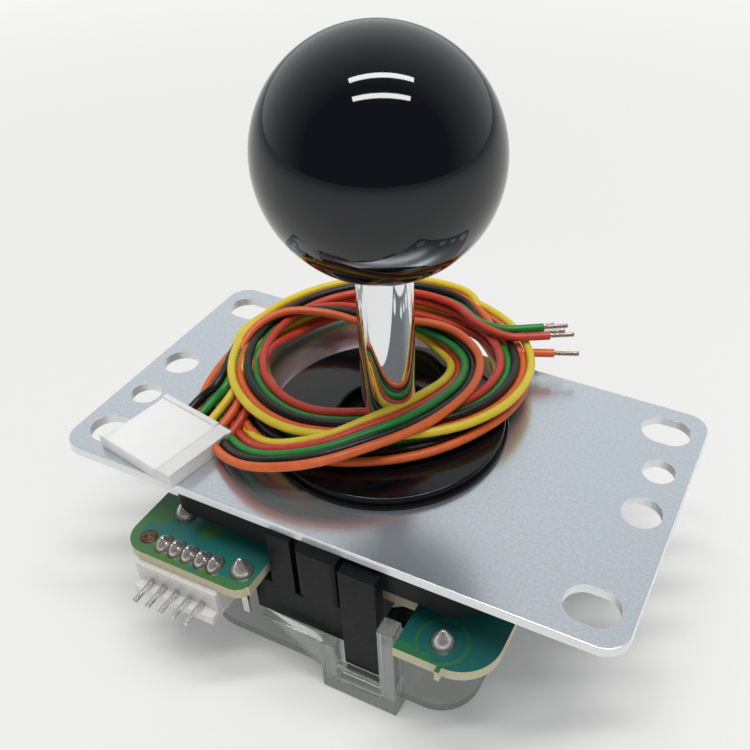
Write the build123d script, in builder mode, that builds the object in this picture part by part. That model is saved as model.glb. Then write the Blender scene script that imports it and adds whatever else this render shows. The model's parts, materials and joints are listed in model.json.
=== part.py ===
from build123d import *
import math
import os

# Arcade joystick lever: a ball-topped lever on a flat steel mounting plate, with a moulded
# housing, four lever switches on a circuit board and a clear square gate below it.
# Millimetres, +Z up. The origin lies on the lever's axis, in the plate's top face. The plate's
# long side runs along X, and the wiring header looks towards -Y.

os.makedirs("parts", exist_ok=True)

# Fits and clearances
running_gap = 0.05
seat_gap = 0.02
loose_gap = 0.2

# Mounting plate
plate_length = 97.0
plate_width = 52.5
plate_thickness = 1.6
plate_corner_radius = 4.0
plate_edge_round = 0.35
plate_bore_radius = 12.0
slot_inset_x = 6.5
slot_inset_y = 6.25
slot_width = 6.5
slot_length = 8.4
side_hole_inset = 5.1
side_hole_radius = 3.2
pilot_hole_y = 9.9
pilot_hole_radius = 2.7

# Flat-head screws that hold the plate to the housing
screw_count = 4
screw_circle_radius = 15.0
screw_first_angle = 45.0
screw_head_radius = 2.7
screw_shank_radius = 1.4
screw_length = 8.0
screw_recess_width = 0.8
screw_recess_length = 3.0
screw_recess_depth = 0.8

# Lever: ball, insert and shaft
tilt_range = 8.0
ball_radius = 17.5
ball_centre_height = 49.5
ball_flat_radius = 5.6
insert_radius = 4.4
insert_length = 14.0
shaft_radius = 4.4
thread_radius = 3.0
thread_length = 12.0
lower_shaft_radius = 3.2
shaft_end_chamfer = 0.5
driver_slot_width = 1.2
driver_slot_depth = 1.5

# Dust washer: a loose disc with a wider, thinner rim below
washer_radius = 19.9
washer_thickness = 2.0
washer_rim_radius = 20.5
washer_rim_thickness = 0.75
washer_edge_round = 0.3
washer_hole_radius = 8.8
washer_shift_x = -1.2
washer_shift_y = 1.6

# Pivot: the dome that the lever rocks on, with a flange below it
pivot_drop = 8.0
dome_radius = 8.0
dome_flat_height = 6.6
flange_radius = 10.4
flange_thickness = 2.0
flange_drop = 2.4

# Housing
housing_length = 54.8
housing_width = 52.0
housing_corner_radius = 5.0
housing_top_thickness = 4.4
collar_radius = 11.8
collar_drop = 0.1
core_radius = 17.6
mouth_radius = 6.3
bell_radius = 12.6
bell_rise = 0.3
leg_front = 27.2
leg_thickness = 3.2
leg_left = -7.2
leg_right = 5.6
leg_foot_left = -10.8
leg_bottom = 21.0
leg_end_round = 2.6
boss_left = -1.5
boss_bulge = 1.1
boss_bottom = 11.8
boss_round = 0.9
groove_width = 1.4
groove_depth = 1.8
groove_bottom = 13.8
latch_gap = 0.35
latch_width = 6.3
latch_front = 28.2
latch_thickness = 2.4
latch_top = 2.6
latch_bottom = 25.0
latch_tongue_bottom = 28.3

# Circuit board
board_drop = 11.0
board_thickness = 2.0
board_half = 31.1
board_notch_left = -8.7
board_notch_right = 16.4
board_leg_gap = 1.5
board_bore_radius = 13.4
board_outer_round = 6.5
board_inner_round = 1.8
header_lobe_left_reach = 1.9
header_lobe_front_reach = 1.6
header_lobe_width = 12.7
header_lobe_round = 4.4
header_lobe_end_round = 2.7
nub_width = 0.8
nub_reach = 1.0
nub_x = 24.0

# Lever switches, one on each side of the shaft, each a quarter turn on from the last
case_length = 19.8
case_depth = 10.2
case_height = 6.4
case_inner = 12.3
case_edge_round = 0.6
rivet_radius = 1.2
rivet_spacing = 9.5
rivet_inset = 3.0
rivet_depth = 0.4
leaf_thickness = 0.4
leaf_width = 2.4
leaf_drop = 16.6
leaf_gap = 0.7
leaf_length = 13.6
hinge_x = -8.6
hinge_inset = 0.3
hinge_pin_radius = 0.5
plunger_x = -3.4
plunger_width = 1.6
plunger_height = 3.0
plunger_length = 3.2
plunger_travel = 0.8
plunger_leaf_gap = 0.12
terminal_thickness = 0.5
terminal_width = 1.2
terminal_drop = 16.2
terminal_inset = 3.6
terminal_pin_radius = 0.6
near_terminal_x = -11.6
near_terminal_inset = 2.3
near_terminal_bottom = 20.6
far_terminal_inset_x = 8.4
far_terminal_inset_y = 4.0

# Solder joints
solder_foot_radius = 2.0
solder_tip_radius = 0.7
solder_height = 3.0
header_solder_foot_radius = 1.15
header_solder_tip_radius = 0.6
header_solder_height = 1.9

# Five-way header under the board
way_count = 5
way_pitch = 2.5
header_x = -21.5
header_pin_inset = 3.2
header_length = 15.6
header_front_reach = 4.1
header_back_reach = 2.5
header_height = 5.4
header_lip_height = 1.6
header_lip_reach = 1.6
pin_size = 0.7
pin_drop = 3.1
pin_length = 4.6

# Actuator cup, spring, washer and clip on the lower shaft
actuator_radius = 9.2
actuator_wall = 1.2
actuator_top = 14.2
actuator_floor = 21.0
actuator_floor_thickness = 2.2
actuator_foot_radius = 6.0
actuator_bottom = 30.2
spring_washer_radius = 7.4
spring_washer_thickness = 0.8
spring_radius = 5.6
spring_wire_radius = 0.55
spring_turns = 4
clip_radius = 5.0
clip_thickness = 0.6
clip_groove_radius = 2.4
clip_mouth = 3.6
clip_gap = 0.1
shaft_end_below_clip = 1.6

# Clear gate
gate_bottom = 33.0
gate_half = 25.6
gate_corner_radius = 7.0
gate_floor = 2.0
gate_bore_radius = 13.0
gate_rim_width = 1.4
gate_rim_height = 2.4
bracket_left = 1.7
bracket_right = 15.4
bracket_front = 29.0
bracket_thickness = 3.0
bracket_post = 2.9
bracket_right_top = 12.0
bracket_bar_thickness = 1.4
bracket_bar_height = 1.4
upper_bar_drop = 25.3
lower_bar_drop = 28.6
web_left = -9.0
web_top = 20.0
web_bottom = 28.0
web_thickness = 1.4
restrictor_half = 16.0
restrictor_corner_radius = 4.0
restrictor_thickness = 1.8
restrictor_gap = 0.3
restrictor_bore_round = 3.0

# Harness plug, lying on the plate's front left corner
plug_x = -27.6
plug_y = -14.3
plug_turn = -9.5
plug_width = 15.4
plug_length = 14.2
plug_height = 5.0
plug_edge_round = 0.4
plug_way_offset = 1.2
plug_wire_height = 3.0
plug_rib_width = 1.2
plug_rib_height = 0.6
plug_groove_width = 0.8
plug_groove_depth = 0.5
plug_window_width = 1.4
plug_window_length = 2.6
plug_window_inset = 2.4
contact_width = 1.6
contact_height = 1.5
contact_length = 6.0
contact_inset = 0.6

# Harness: five wires wound round the lever in one loose coil
wire_radius = 0.75
strand_radius = 0.4
strand_length = 4.4
coil_x = -8.2
coil_y = 8.2
coil_half_length = 27.5
coil_half_width = 24.6
coil_hole_x = -7.6
coil_hole_y = 6.9
coil_hole_radius = 18.2
coil_height = 6.0
coil_round = 1.8
plug_to_coil = 7.5
end_length = 11.0

# Name of each wire, the place its free end starts from, and its heading from +X
free_ends = (
    ("black", 5.6, 25.6, 4.6, 32.0),
    ("green", 6.4, 24.2, 6.9, 32.0),
    ("yellow", 3.8, 26.6, 3.4, 40.0),
    ("orange", 9.2, 22.0, 4.6, 24.0),
    ("red", 8.2, 22.4, 6.9, 31.0),
)

# Places that follow from the sizes above
quarter_turns = (0, 90, 180, 270)
sides = ("front", "right", "back", "left")
tilt = math.radians(tilt_range)
plate_bottom = -plate_thickness
slot_spacing_x = plate_length - 2 * slot_inset_x
slot_spacing_y = plate_width - 2 * slot_inset_y
side_hole_x = plate_length / 2 - side_hole_inset
board_notch_floor = leg_front - leg_thickness - board_leg_gap
board_notch_depth = board_half - board_notch_floor
header_lobe_left = -(board_half + header_lobe_left_reach)
header_lobe_front = -(board_half + header_lobe_front_reach)
near_terminal_y = near_terminal_inset - board_half
far_terminal_x = board_half - far_terminal_inset_x
far_terminal_y = far_terminal_inset_y - board_half
header_pin_y = header_lobe_front + header_pin_inset
header_front = header_pin_y - header_front_reach
header_back = header_pin_y + header_back_reach
pin_tip_y = header_front - pin_length
collar_top = -collar_drop
housing_top_bottom = plate_bottom - housing_top_thickness
board_top = -board_drop
board_bottom = board_top - board_thickness
pivot_z = -pivot_drop
flange_top = pivot_z - flange_drop
flange_bottom = flange_top - flange_thickness
spring_top = flange_bottom - spring_washer_thickness
actuator_floor_top = -actuator_floor
actuator_end = -actuator_bottom
clip_top = actuator_end - clip_gap
clip_bottom = clip_top - clip_thickness
shaft_bottom = clip_bottom - shaft_end_below_clip
dome_top = pivot_z + dome_flat_height
ball_bottom = ball_centre_height - math.sqrt(ball_radius**2 - ball_flat_radius**2)
gate_floor_top = gate_floor - gate_bottom
latch_left = leg_right + latch_gap
latch_back = latch_thickness - latch_front
tongue_front = bracket_bar_thickness + loose_gap - bracket_front
catch_top = upper_bar_drop + bracket_bar_height + loose_gap
hinge_y = -(case_inner - hinge_inset)
hinge_distance = math.hypot(hinge_x, hinge_y)
leaf_middle = actuator_radius + leaf_gap + leaf_thickness / 2
leaf_slope = math.degrees(math.atan2(-hinge_y, -hinge_x) - math.asin(leaf_middle / hinge_distance))
leaf_stand_off = leaf_thickness / 2 + plunger_leaf_gap + plunger_width / 2
leaf_at_plunger = hinge_y + (plunger_x - hinge_x) * math.tan(math.radians(leaf_slope))
plunger_tip_y = leaf_at_plunger - leaf_stand_off / math.cos(math.radians(leaf_slope))
header_pin_z = board_bottom - pin_drop
header_bottom = board_bottom - header_height
foot_swing = (actuator_bottom - pivot_drop) * math.tan(tilt) + actuator_foot_radius / math.cos(tilt)
restrictor_bore = foot_swing + restrictor_gap
way_offsets = [(way - (way_count - 1) / 2) * way_pitch for way in range(way_count)]
plug_frame = Plane((plug_x, plug_y, 0)).rotated((0, 0, plug_turn))
coil_bottom = washer_thickness
coil_top = coil_bottom + coil_height


def level(height):
    """Horizontal plane at a height."""
    return Plane.XY.offset(height)


def block(left, right, front, back, bottom, top, mode=Mode.ADD):
    """Block between six given faces, in the piece that is being built."""
    with Locations(((left + right) / 2, (front + back) / 2, (bottom + top) / 2)):
        Box(right - left, back - front, top - bottom, mode=mode)


def save(piece, name):
    """Labels a finished piece and writes it out."""
    piece.part.label = name
    export_step(piece.part, f"parts/{name}.step")


# Ball top, with a flat and a blind hole for its insert
with BuildPart() as ball_top:
    with Locations((0, 0, ball_centre_height)):
        Sphere(ball_radius)
    split(bisect_by=level(ball_bottom), keep=Keep.TOP)
    with BuildSketch(level(ball_bottom)):
        Circle(insert_radius + seat_gap)
    extrude(amount=insert_length + seat_gap, mode=Mode.SUBTRACT)
save(ball_top, "ball_top")

# Threaded metal insert in the ball
with BuildPart() as ball_insert:
    with BuildSketch(level(ball_bottom)):
        Circle(insert_radius)
    extrude(amount=insert_length)
    with BuildSketch(level(ball_bottom)):
        Circle(thread_radius + seat_gap)
    extrude(amount=thread_length + loose_gap, mode=Mode.SUBTRACT)
save(ball_insert, "ball_insert")

# Shaft: thread, full length, shoulder on the pivot, and a groove for the clip
with BuildPart() as shaft:
    with BuildSketch(level(dome_top)):
        Circle(shaft_radius)
    extrude(amount=ball_bottom - dome_top)
    with BuildSketch(level(ball_bottom)):
        Circle(thread_radius)
    extrude(amount=thread_length)
    with BuildSketch(level(shaft_bottom)):
        Circle(lower_shaft_radius)
    extrude(amount=dome_top - shaft_bottom)
    chamfer(shaft.edges().group_by(Axis.Z)[0], shaft_end_chamfer)
    chamfer(shaft.edges().group_by(Axis.Z)[-1], shaft_end_chamfer)
    with BuildSketch(level(clip_bottom - seat_gap)):
        Circle(lower_shaft_radius)
        Circle(clip_groove_radius, mode=Mode.SUBTRACT)
    extrude(amount=clip_thickness + 2 * seat_gap, mode=Mode.SUBTRACT)
    with BuildSketch(level(shaft_bottom)):
        Rectangle(2 * lower_shaft_radius, driver_slot_width)
    extrude(amount=driver_slot_depth, mode=Mode.SUBTRACT)
save(shaft, "shaft")

# Dust washer
with BuildPart() as dust_washer:
    with BuildSketch(level(0)):
        with Locations((washer_shift_x, washer_shift_y)):
            Circle(washer_rim_radius)
    extrude(amount=washer_rim_thickness)
    with BuildSketch(level(0)):
        with Locations((washer_shift_x, washer_shift_y)):
            Circle(washer_radius)
    extrude(amount=washer_thickness)
    fillet(dust_washer.edges().group_by(Axis.Z)[-1], washer_edge_round)
    with BuildSketch(level(0)):
        with Locations((washer_shift_x, washer_shift_y)):
            Circle(washer_hole_radius)
    extrude(amount=washer_thickness, mode=Mode.SUBTRACT)
save(dust_washer, "dust_washer")

# Mounting plate with its slots, side holes and countersunk screw holes
with BuildPart() as mounting_plate:
    with BuildSketch(level(plate_bottom)):
        RectangleRounded(plate_length, plate_width, plate_corner_radius)
    extrude(amount=plate_thickness)
    fillet(mounting_plate.edges().group_by(Axis.Z)[-1], plate_edge_round)
    with BuildSketch(level(plate_bottom)):
        Circle(plate_bore_radius)
        with GridLocations(slot_spacing_x, slot_spacing_y, 2, 2):
            SlotOverall(slot_length, slot_width)
        with GridLocations(2 * side_hole_x, 0, 2, 1):
            Circle(side_hole_radius)
        with Locations((side_hole_x, pilot_hole_y), (-side_hole_x, -pilot_hole_y)):
            Circle(pilot_hole_radius)
    extrude(amount=plate_thickness, mode=Mode.SUBTRACT)
    with Locations(level(0)):
        with PolarLocations(screw_circle_radius, screw_count, screw_first_angle):
            CounterSinkHole(screw_shank_radius + loose_gap, screw_head_radius + loose_gap)
save(mounting_plate, "mounting_plate")

# Plate screws
with BuildPart() as plate_screws:
    with PolarLocations(screw_circle_radius, screw_count, screw_first_angle):
        with Locations((0, 0, screw_shank_radius - screw_head_radius)):
            Cone(
                screw_shank_radius,
                screw_head_radius,
                screw_head_radius - screw_shank_radius,
                align=(Align.CENTER, Align.CENTER, Align.MIN),
            )
        Cylinder(screw_shank_radius, screw_length, align=(Align.CENTER, Align.CENTER, Align.MAX))
        with Locations((0, 0, 0)):
            Box(
                screw_recess_length,
                screw_recess_width,
                screw_recess_depth,
                align=(Align.CENTER, Align.CENTER, Align.MAX),
                mode=Mode.SUBTRACT,
            )
            Box(
                screw_recess_width,
                screw_recess_length,
                screw_recess_depth,
                align=(Align.CENTER, Align.CENTER, Align.MAX),
                mode=Mode.SUBTRACT,
            )
save(plate_screws, "plate_screws")

# One side of the housing: a leg with a foot and a boss, and a latch arm beside it
leg_height = leg_bottom - plate_thickness
foot_height = leg_bottom - board_drop - board_thickness - loose_gap
with BuildPart() as housing_side:
    with BuildSketch(level(-leg_bottom)) as leg_outline:
        with Locations((leg_left, -leg_front)):
            Rectangle(leg_right - leg_left, leg_thickness, align=(Align.MIN, Align.MIN))
    extrude(amount=leg_height)
    with BuildSketch(level(-leg_bottom)) as foot_outline:
        with Locations((leg_foot_left, -leg_front)):
            Rectangle(leg_right - leg_foot_left, leg_thickness, align=(Align.MIN, Align.MIN))
    extrude(amount=foot_height)
    with BuildSketch(level(-boss_bottom)) as boss_outline:
        with Locations((boss_left, -leg_front - boss_bulge)):
            Rectangle(leg_right - boss_left, boss_bulge + leg_thickness / 2, align=(Align.MIN, Align.MIN))
        fillet(boss_outline.vertices().group_by(Axis.Y)[0], boss_round)
    extrude(amount=boss_bottom - plate_thickness)
    with BuildSketch(level(-groove_bottom)):
        with Locations((boss_left, -leg_front)):
            Rectangle(groove_width, groove_depth, align=(Align.MAX, Align.MIN))
    extrude(amount=groove_bottom - plate_thickness, mode=Mode.SUBTRACT)
    with BuildSketch(Plane.YZ.offset(latch_left)) as latch_profile:
        with BuildLine():
            Polyline(
                (-latch_front, -latch_top),
                (-latch_front, -latch_bottom),
                (tongue_front, -latch_bottom),
                (tongue_front, -catch_top),
                (-latch_front, -catch_top),
                (tongue_front, -latch_tongue_bottom),
                (latch_back, -latch_tongue_bottom),
                (latch_back, housing_top_bottom),
                (latch_back + leg_thickness, housing_top_bottom),
                (latch_back + leg_thickness, -latch_top),
                close=True,
            )
        make_face()
    extrude(amount=latch_width)

# Housing: top flange, collar through the plate, four sides, core, cup and bell
with BuildPart() as housing:
    with BuildSketch(level(housing_top_bottom)):
        RectangleRounded(housing_length, housing_width, housing_corner_radius)
    extrude(amount=housing_top_thickness)
    with BuildSketch(level(board_top)):
        Circle(core_radius)
    extrude(amount=housing_top_bottom - board_top)
    with BuildSketch(level(plate_bottom)):
        Circle(collar_radius)
    extrude(amount=collar_top - plate_bottom)
    for turn in quarter_turns:
        add(housing_side.part.rotate(Axis.Z, turn))
    with BuildSketch(level(board_top)):
        Circle(bell_radius)
    extrude(amount=pivot_z + bell_rise - board_top, mode=Mode.SUBTRACT)
    with BuildSketch(level(board_top)):
        Circle(mouth_radius)
    extrude(amount=collar_top - board_top, mode=Mode.SUBTRACT)
    with Locations((0, 0, pivot_z)):
        Sphere(dome_radius + running_gap, mode=Mode.SUBTRACT)
    with PolarLocations(screw_circle_radius, screw_count, screw_first_angle):
        Cylinder(
            screw_shank_radius + seat_gap,
            screw_length + loose_gap,
            align=(Align.CENTER, Align.CENTER, Align.MAX),
            mode=Mode.SUBTRACT,
        )
save(housing, "housing")

# Pivot: a dome with a flat top and a flange
with BuildPart() as pivot:
    with Locations((0, 0, pivot_z)):
        Sphere(dome_radius)
    split(bisect_by=level(dome_top), keep=Keep.BOTTOM)
    split(bisect_by=level(flange_bottom), keep=Keep.TOP)
    with BuildSketch(level(flange_bottom)):
        Circle(flange_radius)
    extrude(amount=flange_thickness)
    with BuildSketch(level(flange_bottom)):
        Circle(lower_shaft_radius + running_gap)
    extrude(amount=dome_top - flange_bottom, mode=Mode.SUBTRACT)
save(pivot, "pivot")

# Washer between the pivot and the spring
with BuildPart() as spring_washer:
    with BuildSketch(level(spring_top)):
        Circle(spring_washer_radius)
        Circle(lower_shaft_radius + running_gap, mode=Mode.SUBTRACT)
    extrude(amount=spring_washer_thickness)
save(spring_washer, "spring_washer")

# Centring spring
spring_height = spring_top - actuator_floor_top - 2 * (spring_wire_radius + seat_gap)
spring_start = actuator_floor_top + spring_wire_radius + seat_gap
with BuildPart() as centring_spring:
    with BuildLine(level(spring_start)) as spring_path:
        Helix(pitch=spring_height / spring_turns, height=spring_height, radius=spring_radius)
    with BuildSketch(Plane(origin=spring_path.line @ 0, z_dir=spring_path.line % 0)):
        Circle(spring_wire_radius)
    sweep(is_frenet=True)
save(centring_spring, "centring_spring")

# Actuator: a cup round the spring, with a foot that works in the gate
with BuildPart() as actuator:
    with BuildSketch(level(actuator_end)):
        Circle(actuator_foot_radius)
    extrude(amount=actuator_bottom - actuator_floor)
    with BuildSketch(level(actuator_floor_top - actuator_floor_thickness)):
        Circle(actuator_radius)
    extrude(amount=actuator_floor - actuator_top + actuator_floor_thickness)
    with BuildSketch(level(actuator_floor_top)):
        Circle(actuator_radius - actuator_wall)
    extrude(amount=actuator_floor - actuator_top, mode=Mode.SUBTRACT)
    with BuildSketch(level(actuator_end)):
        Circle(lower_shaft_radius + running_gap)
    extrude(amount=actuator_bottom - actuator_floor, mode=Mode.SUBTRACT)
save(actuator, "actuator")

# Retaining clip in the shaft's groove
with BuildPart() as retaining_clip:
    with BuildSketch(level(clip_bottom)):
        Circle(clip_radius)
        Circle(clip_groove_radius + seat_gap, mode=Mode.SUBTRACT)
        Rectangle(clip_mouth, 2 * clip_radius, align=(Align.CENTER, Align.MAX), mode=Mode.SUBTRACT)
    extrude(amount=clip_thickness)
save(retaining_clip, "retaining_clip")

# Circuit board: four lobes with notches between them, the front left one longer for the header
with BuildPart() as circuit_board:
    with BuildSketch(level(board_bottom)) as board_outline:
        Rectangle(2 * board_half, 2 * board_half)
        for turn in quarter_turns:
            with Locations(Location((0, 0, 0), (0, 0, turn))):
                with Locations(((board_notch_left + board_notch_right) / 2, -board_half)):
                    Rectangle(
                        board_notch_right - board_notch_left,
                        2 * board_notch_depth,
                        mode=Mode.SUBTRACT,
                    )
        corners = board_outline.vertices().sort_by(lambda corner: corner.X**2 + corner.Y**2)
        fillet(corners[-4:], board_outer_round)
        fillet(corners[:-4], board_inner_round)
        with BuildSketch(mode=Mode.PRIVATE) as header_lobe:
            with Locations((header_lobe_left, header_lobe_front)):
                Rectangle(
                    board_notch_left - header_lobe_left,
                    header_lobe_width,
                    align=(Align.MIN, Align.MIN),
                )
            lobe_front = header_lobe.vertices().group_by(Axis.Y)[0].sort_by(Axis.X)
            fillet(lobe_front[0], header_lobe_round)
            lobe_front = header_lobe.vertices().group_by(Axis.Y)[0].sort_by(Axis.X)
            fillet(lobe_front[-1], header_lobe_end_round)
        add(header_lobe.sketch)
        with Locations((nub_x, -board_half)):
            Rectangle(nub_width, 2 * nub_reach)
        Circle(board_bore_radius, mode=Mode.SUBTRACT)
        for turn in quarter_turns:
            with Locations(Location((0, 0, 0), (0, 0, turn))):
                with Locations((near_terminal_x, near_terminal_y), (far_terminal_x, far_terminal_y)):
                    Circle(terminal_pin_radius + seat_gap, mode=Mode.SUBTRACT)
        with Locations((header_x, header_pin_y)):
            with GridLocations(way_pitch, 0, way_count, 1):
                Rectangle(pin_size + 2 * seat_gap, pin_size + 2 * seat_gap, mode=Mode.SUBTRACT)
    extrude(amount=board_thickness)
save(circuit_board, "circuit_board")

# Solder on the board: a cone over each switch terminal and each header pin
with BuildPart() as switch_solder:
    for turn in quarter_turns:
        with Locations(Location((0, 0, board_top), (0, 0, turn))):
            with Locations((near_terminal_x, near_terminal_y, 0), (far_terminal_x, far_terminal_y, 0)):
                Cone(
                    solder_foot_radius,
                    solder_tip_radius,
                    solder_height,
                    align=(Align.CENTER, Align.CENTER, Align.MIN),
                )
save(switch_solder, "switch_solder")

with BuildPart() as header_solder:
    with Locations((header_x, header_pin_y, board_top)):
        with GridLocations(way_pitch, 0, way_count, 1):
            Cone(
                header_solder_foot_radius,
                header_solder_tip_radius,
                header_solder_height,
                align=(Align.CENTER, Align.CENTER, Align.MIN),
            )
save(header_solder, "header_solder")

# Header pins, bent from the board towards the front
with BuildPart() as header_pins:
    for offset_x in way_offsets:
        pin_x = header_x + offset_x
        block(
            pin_x - pin_size / 2,
            pin_x + pin_size / 2,
            header_pin_y - pin_size / 2,
            header_pin_y + pin_size / 2,
            header_pin_z - pin_size / 2,
            board_top,
        )
        block(
            pin_x - pin_size / 2,
            pin_x + pin_size / 2,
            pin_tip_y,
            header_pin_y,
            header_pin_z - pin_size / 2,
            header_pin_z + pin_size / 2,
        )
save(header_pins, "header_pins")

# Header body, moulded round the pins, with a lip under the front
with BuildPart() as header_body:
    with BuildSketch(Plane.YZ.offset(header_x - header_length / 2)) as header_profile:
        with BuildLine():
            Polyline(
                (header_back, board_bottom),
                (header_front, board_bottom),
                (header_front, header_bottom + header_lip_height),
                (header_front - header_lip_reach, header_bottom + header_lip_height),
                (header_front - header_lip_reach, header_bottom),
                (header_back, header_bottom),
                close=True,
            )
        make_face()
    extrude(amount=header_length)
    pin_half = pin_size / 2 + seat_gap
    for offset_x in way_offsets:
        pin_x = header_x + offset_x
        block(
            pin_x - pin_half,
            pin_x + pin_half,
            header_pin_y - pin_half,
            header_pin_y + pin_half,
            header_pin_z - pin_half,
            board_bottom,
            mode=Mode.SUBTRACT,
        )
        block(
            pin_x - pin_half,
            pin_x + pin_half,
            header_front - header_lip_reach,
            header_pin_y,
            header_pin_z - pin_half,
            header_pin_z + pin_half,
            mode=Mode.SUBTRACT,
        )
save(header_body, "header_body")

# Lever switches: a case, a lever on a hinge pin, and a plunger under the lever
with BuildPart() as switch_case:
    with BuildSketch(level(board_bottom - case_height)) as case_outline:
        with Locations((0, -case_inner)):
            Rectangle(case_length, case_depth, align=(Align.CENTER, Align.MAX))
        fillet(case_outline.vertices(), case_edge_round)
    extrude(amount=case_height)
    with BuildSketch(level(board_bottom - case_height)):
        with Locations((0, -case_inner - case_depth + rivet_inset)):
            with GridLocations(rivet_spacing, 0, 2, 1):
                Circle(rivet_radius)
    extrude(amount=rivet_depth, mode=Mode.SUBTRACT)
    with BuildSketch(level(board_bottom - case_height)):
        with Locations((hinge_x, hinge_y)):
            Circle(hinge_pin_radius + running_gap)
    extrude(amount=case_height, mode=Mode.SUBTRACT)
    block(
        plunger_x - plunger_width / 2 - running_gap,
        plunger_x + plunger_width / 2 + running_gap,
        plunger_tip_y - plunger_length - plunger_travel,
        -case_inner,
        -leaf_drop - plunger_height / 2 - running_gap,
        -leaf_drop + plunger_height / 2 + running_gap,
        mode=Mode.SUBTRACT,
    )

with BuildPart() as switch_lever:
    with BuildSketch(level(-leaf_drop - leaf_width / 2)):
        with Locations(Location((hinge_x, hinge_y, 0), (0, 0, leaf_slope))):
            Rectangle(leaf_length, leaf_thickness, align=(Align.MIN, Align.CENTER))
            Circle(hinge_pin_radius)
    extrude(amount=leaf_width)

with BuildPart() as switch_plunger:
    with BuildSketch(level(-leaf_drop - plunger_height / 2)):
        with Locations((plunger_x, plunger_tip_y)):
            Circle(plunger_width / 2)
            Rectangle(plunger_width, plunger_length, align=(Align.CENTER, Align.MAX))
    extrude(amount=plunger_height)

for side, turn in zip(sides, quarter_turns):
    for piece, name in (
        (switch_case, "switch_case"),
        (switch_lever, "switch_lever"),
        (switch_plunger, "switch_plunger"),
    ):
        with BuildPart() as turned:
            add(piece.part.rotate(Axis.Z, turn))
        save(turned, f"{name}_{side}")

# Terminals: flat straps from the ends of each switch to pins through the board
strap_y = -(case_inner + case_depth - terminal_inset)
strap_start = case_length / 2 + terminal_width / 2
with BuildPart() as terminal_pair:
    with BuildSketch(level(-terminal_drop)):
        with BuildLine():
            near_path = Polyline(
                (-strap_start, strap_y),
                (near_terminal_x, strap_y),
                (near_terminal_x, near_terminal_y),
            )
            offset(near_path, amount=terminal_width / 2, side=Side.BOTH, kind=Kind.INTERSECTION)
        make_face()
    extrude(amount=terminal_thickness)
    with BuildSketch(level(-terminal_drop)):
        with BuildLine():
            far_path = Polyline(
                (strap_start, strap_y),
                (far_terminal_x, strap_y),
                (far_terminal_x, far_terminal_y),
            )
            offset(far_path, amount=terminal_width / 2, side=Side.BOTH, kind=Kind.INTERSECTION)
        make_face()
    extrude(amount=terminal_thickness)
    with BuildSketch(level(-terminal_drop)):
        with Locations((near_terminal_x, near_terminal_y), (far_terminal_x, far_terminal_y)):
            Circle(terminal_pin_radius)
    extrude(amount=terminal_drop - board_drop)
    block(
        near_terminal_x - terminal_width / 2,
        near_terminal_x + terminal_width / 2,
        near_terminal_y - terminal_width / 2,
        near_terminal_y - terminal_width / 2 + terminal_thickness,
        -near_terminal_bottom,
        -terminal_drop,
    )

with BuildPart() as switch_terminals:
    for turn in quarter_turns:
        add(terminal_pair.part.rotate(Axis.Z, turn))
save(switch_terminals, "switch_terminals")

# One bracket of the gate: two posts, two bars and a sloping web
with BuildPart() as gate_bracket:
    left_post_right = bracket_left + bracket_post
    right_post_left = bracket_right - bracket_post
    bracket_back = bracket_thickness - bracket_front
    block(bracket_left, left_post_right, -bracket_front, bracket_back, -gate_bottom, -leg_bottom)
    block(right_post_left, bracket_right, -bracket_front, bracket_back, -gate_bottom, -bracket_right_top)
    for bar_drop in (upper_bar_drop, lower_bar_drop):
        block(
            bracket_left,
            bracket_right,
            -bracket_front,
            bracket_bar_thickness - bracket_front,
            -bar_drop - bracket_bar_height,
            -bar_drop,
        )
    bracket_root = -gate_bore_radius - 2 * gate_rim_width
    block(bracket_left, bracket_right, -bracket_front, bracket_root, -gate_bottom, gate_floor_top)
    with BuildSketch(Plane.XZ.offset(bracket_front)):
        with BuildLine():
            Polyline(
                (bracket_left, -leg_bottom),
                (web_left, -web_top),
                (bracket_left, -web_bottom),
                close=True,
            )
        make_face()
    extrude(amount=-web_thickness)

# Gate: floor with a bore, a rim round the restrictor, and four brackets
with BuildPart() as gate_frame:
    with BuildSketch(level(-gate_bottom)):
        RectangleRounded(2 * gate_half, 2 * gate_half, gate_corner_radius)
    extrude(amount=gate_floor)
    with BuildSketch(level(gate_floor_top)):
        rim_half = restrictor_half + seat_gap + gate_rim_width
        RectangleRounded(2 * rim_half, 2 * rim_half, restrictor_corner_radius + gate_rim_width)
        rim_inner = restrictor_half + seat_gap
        RectangleRounded(2 * rim_inner, 2 * rim_inner, restrictor_corner_radius, mode=Mode.SUBTRACT)
    extrude(amount=gate_rim_height)
    for turn in quarter_turns:
        add(gate_bracket.part.rotate(Axis.Z, turn))
    with BuildSketch(level(-gate_bottom)):
        Circle(gate_bore_radius)
    extrude(amount=gate_floor, mode=Mode.SUBTRACT)
save(gate_frame, "gate_frame")

# Square restrictor plate, seated inside the gate's rim
with BuildPart() as restrictor_plate:
    with BuildSketch(level(gate_floor_top)):
        RectangleRounded(2 * restrictor_half, 2 * restrictor_half, restrictor_corner_radius)
        RectangleRounded(2 * restrictor_bore, 2 * restrictor_bore, restrictor_bore_round, mode=Mode.SUBTRACT)
    extrude(amount=restrictor_thickness)
save(restrictor_plate, "restrictor_plate")

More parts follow.
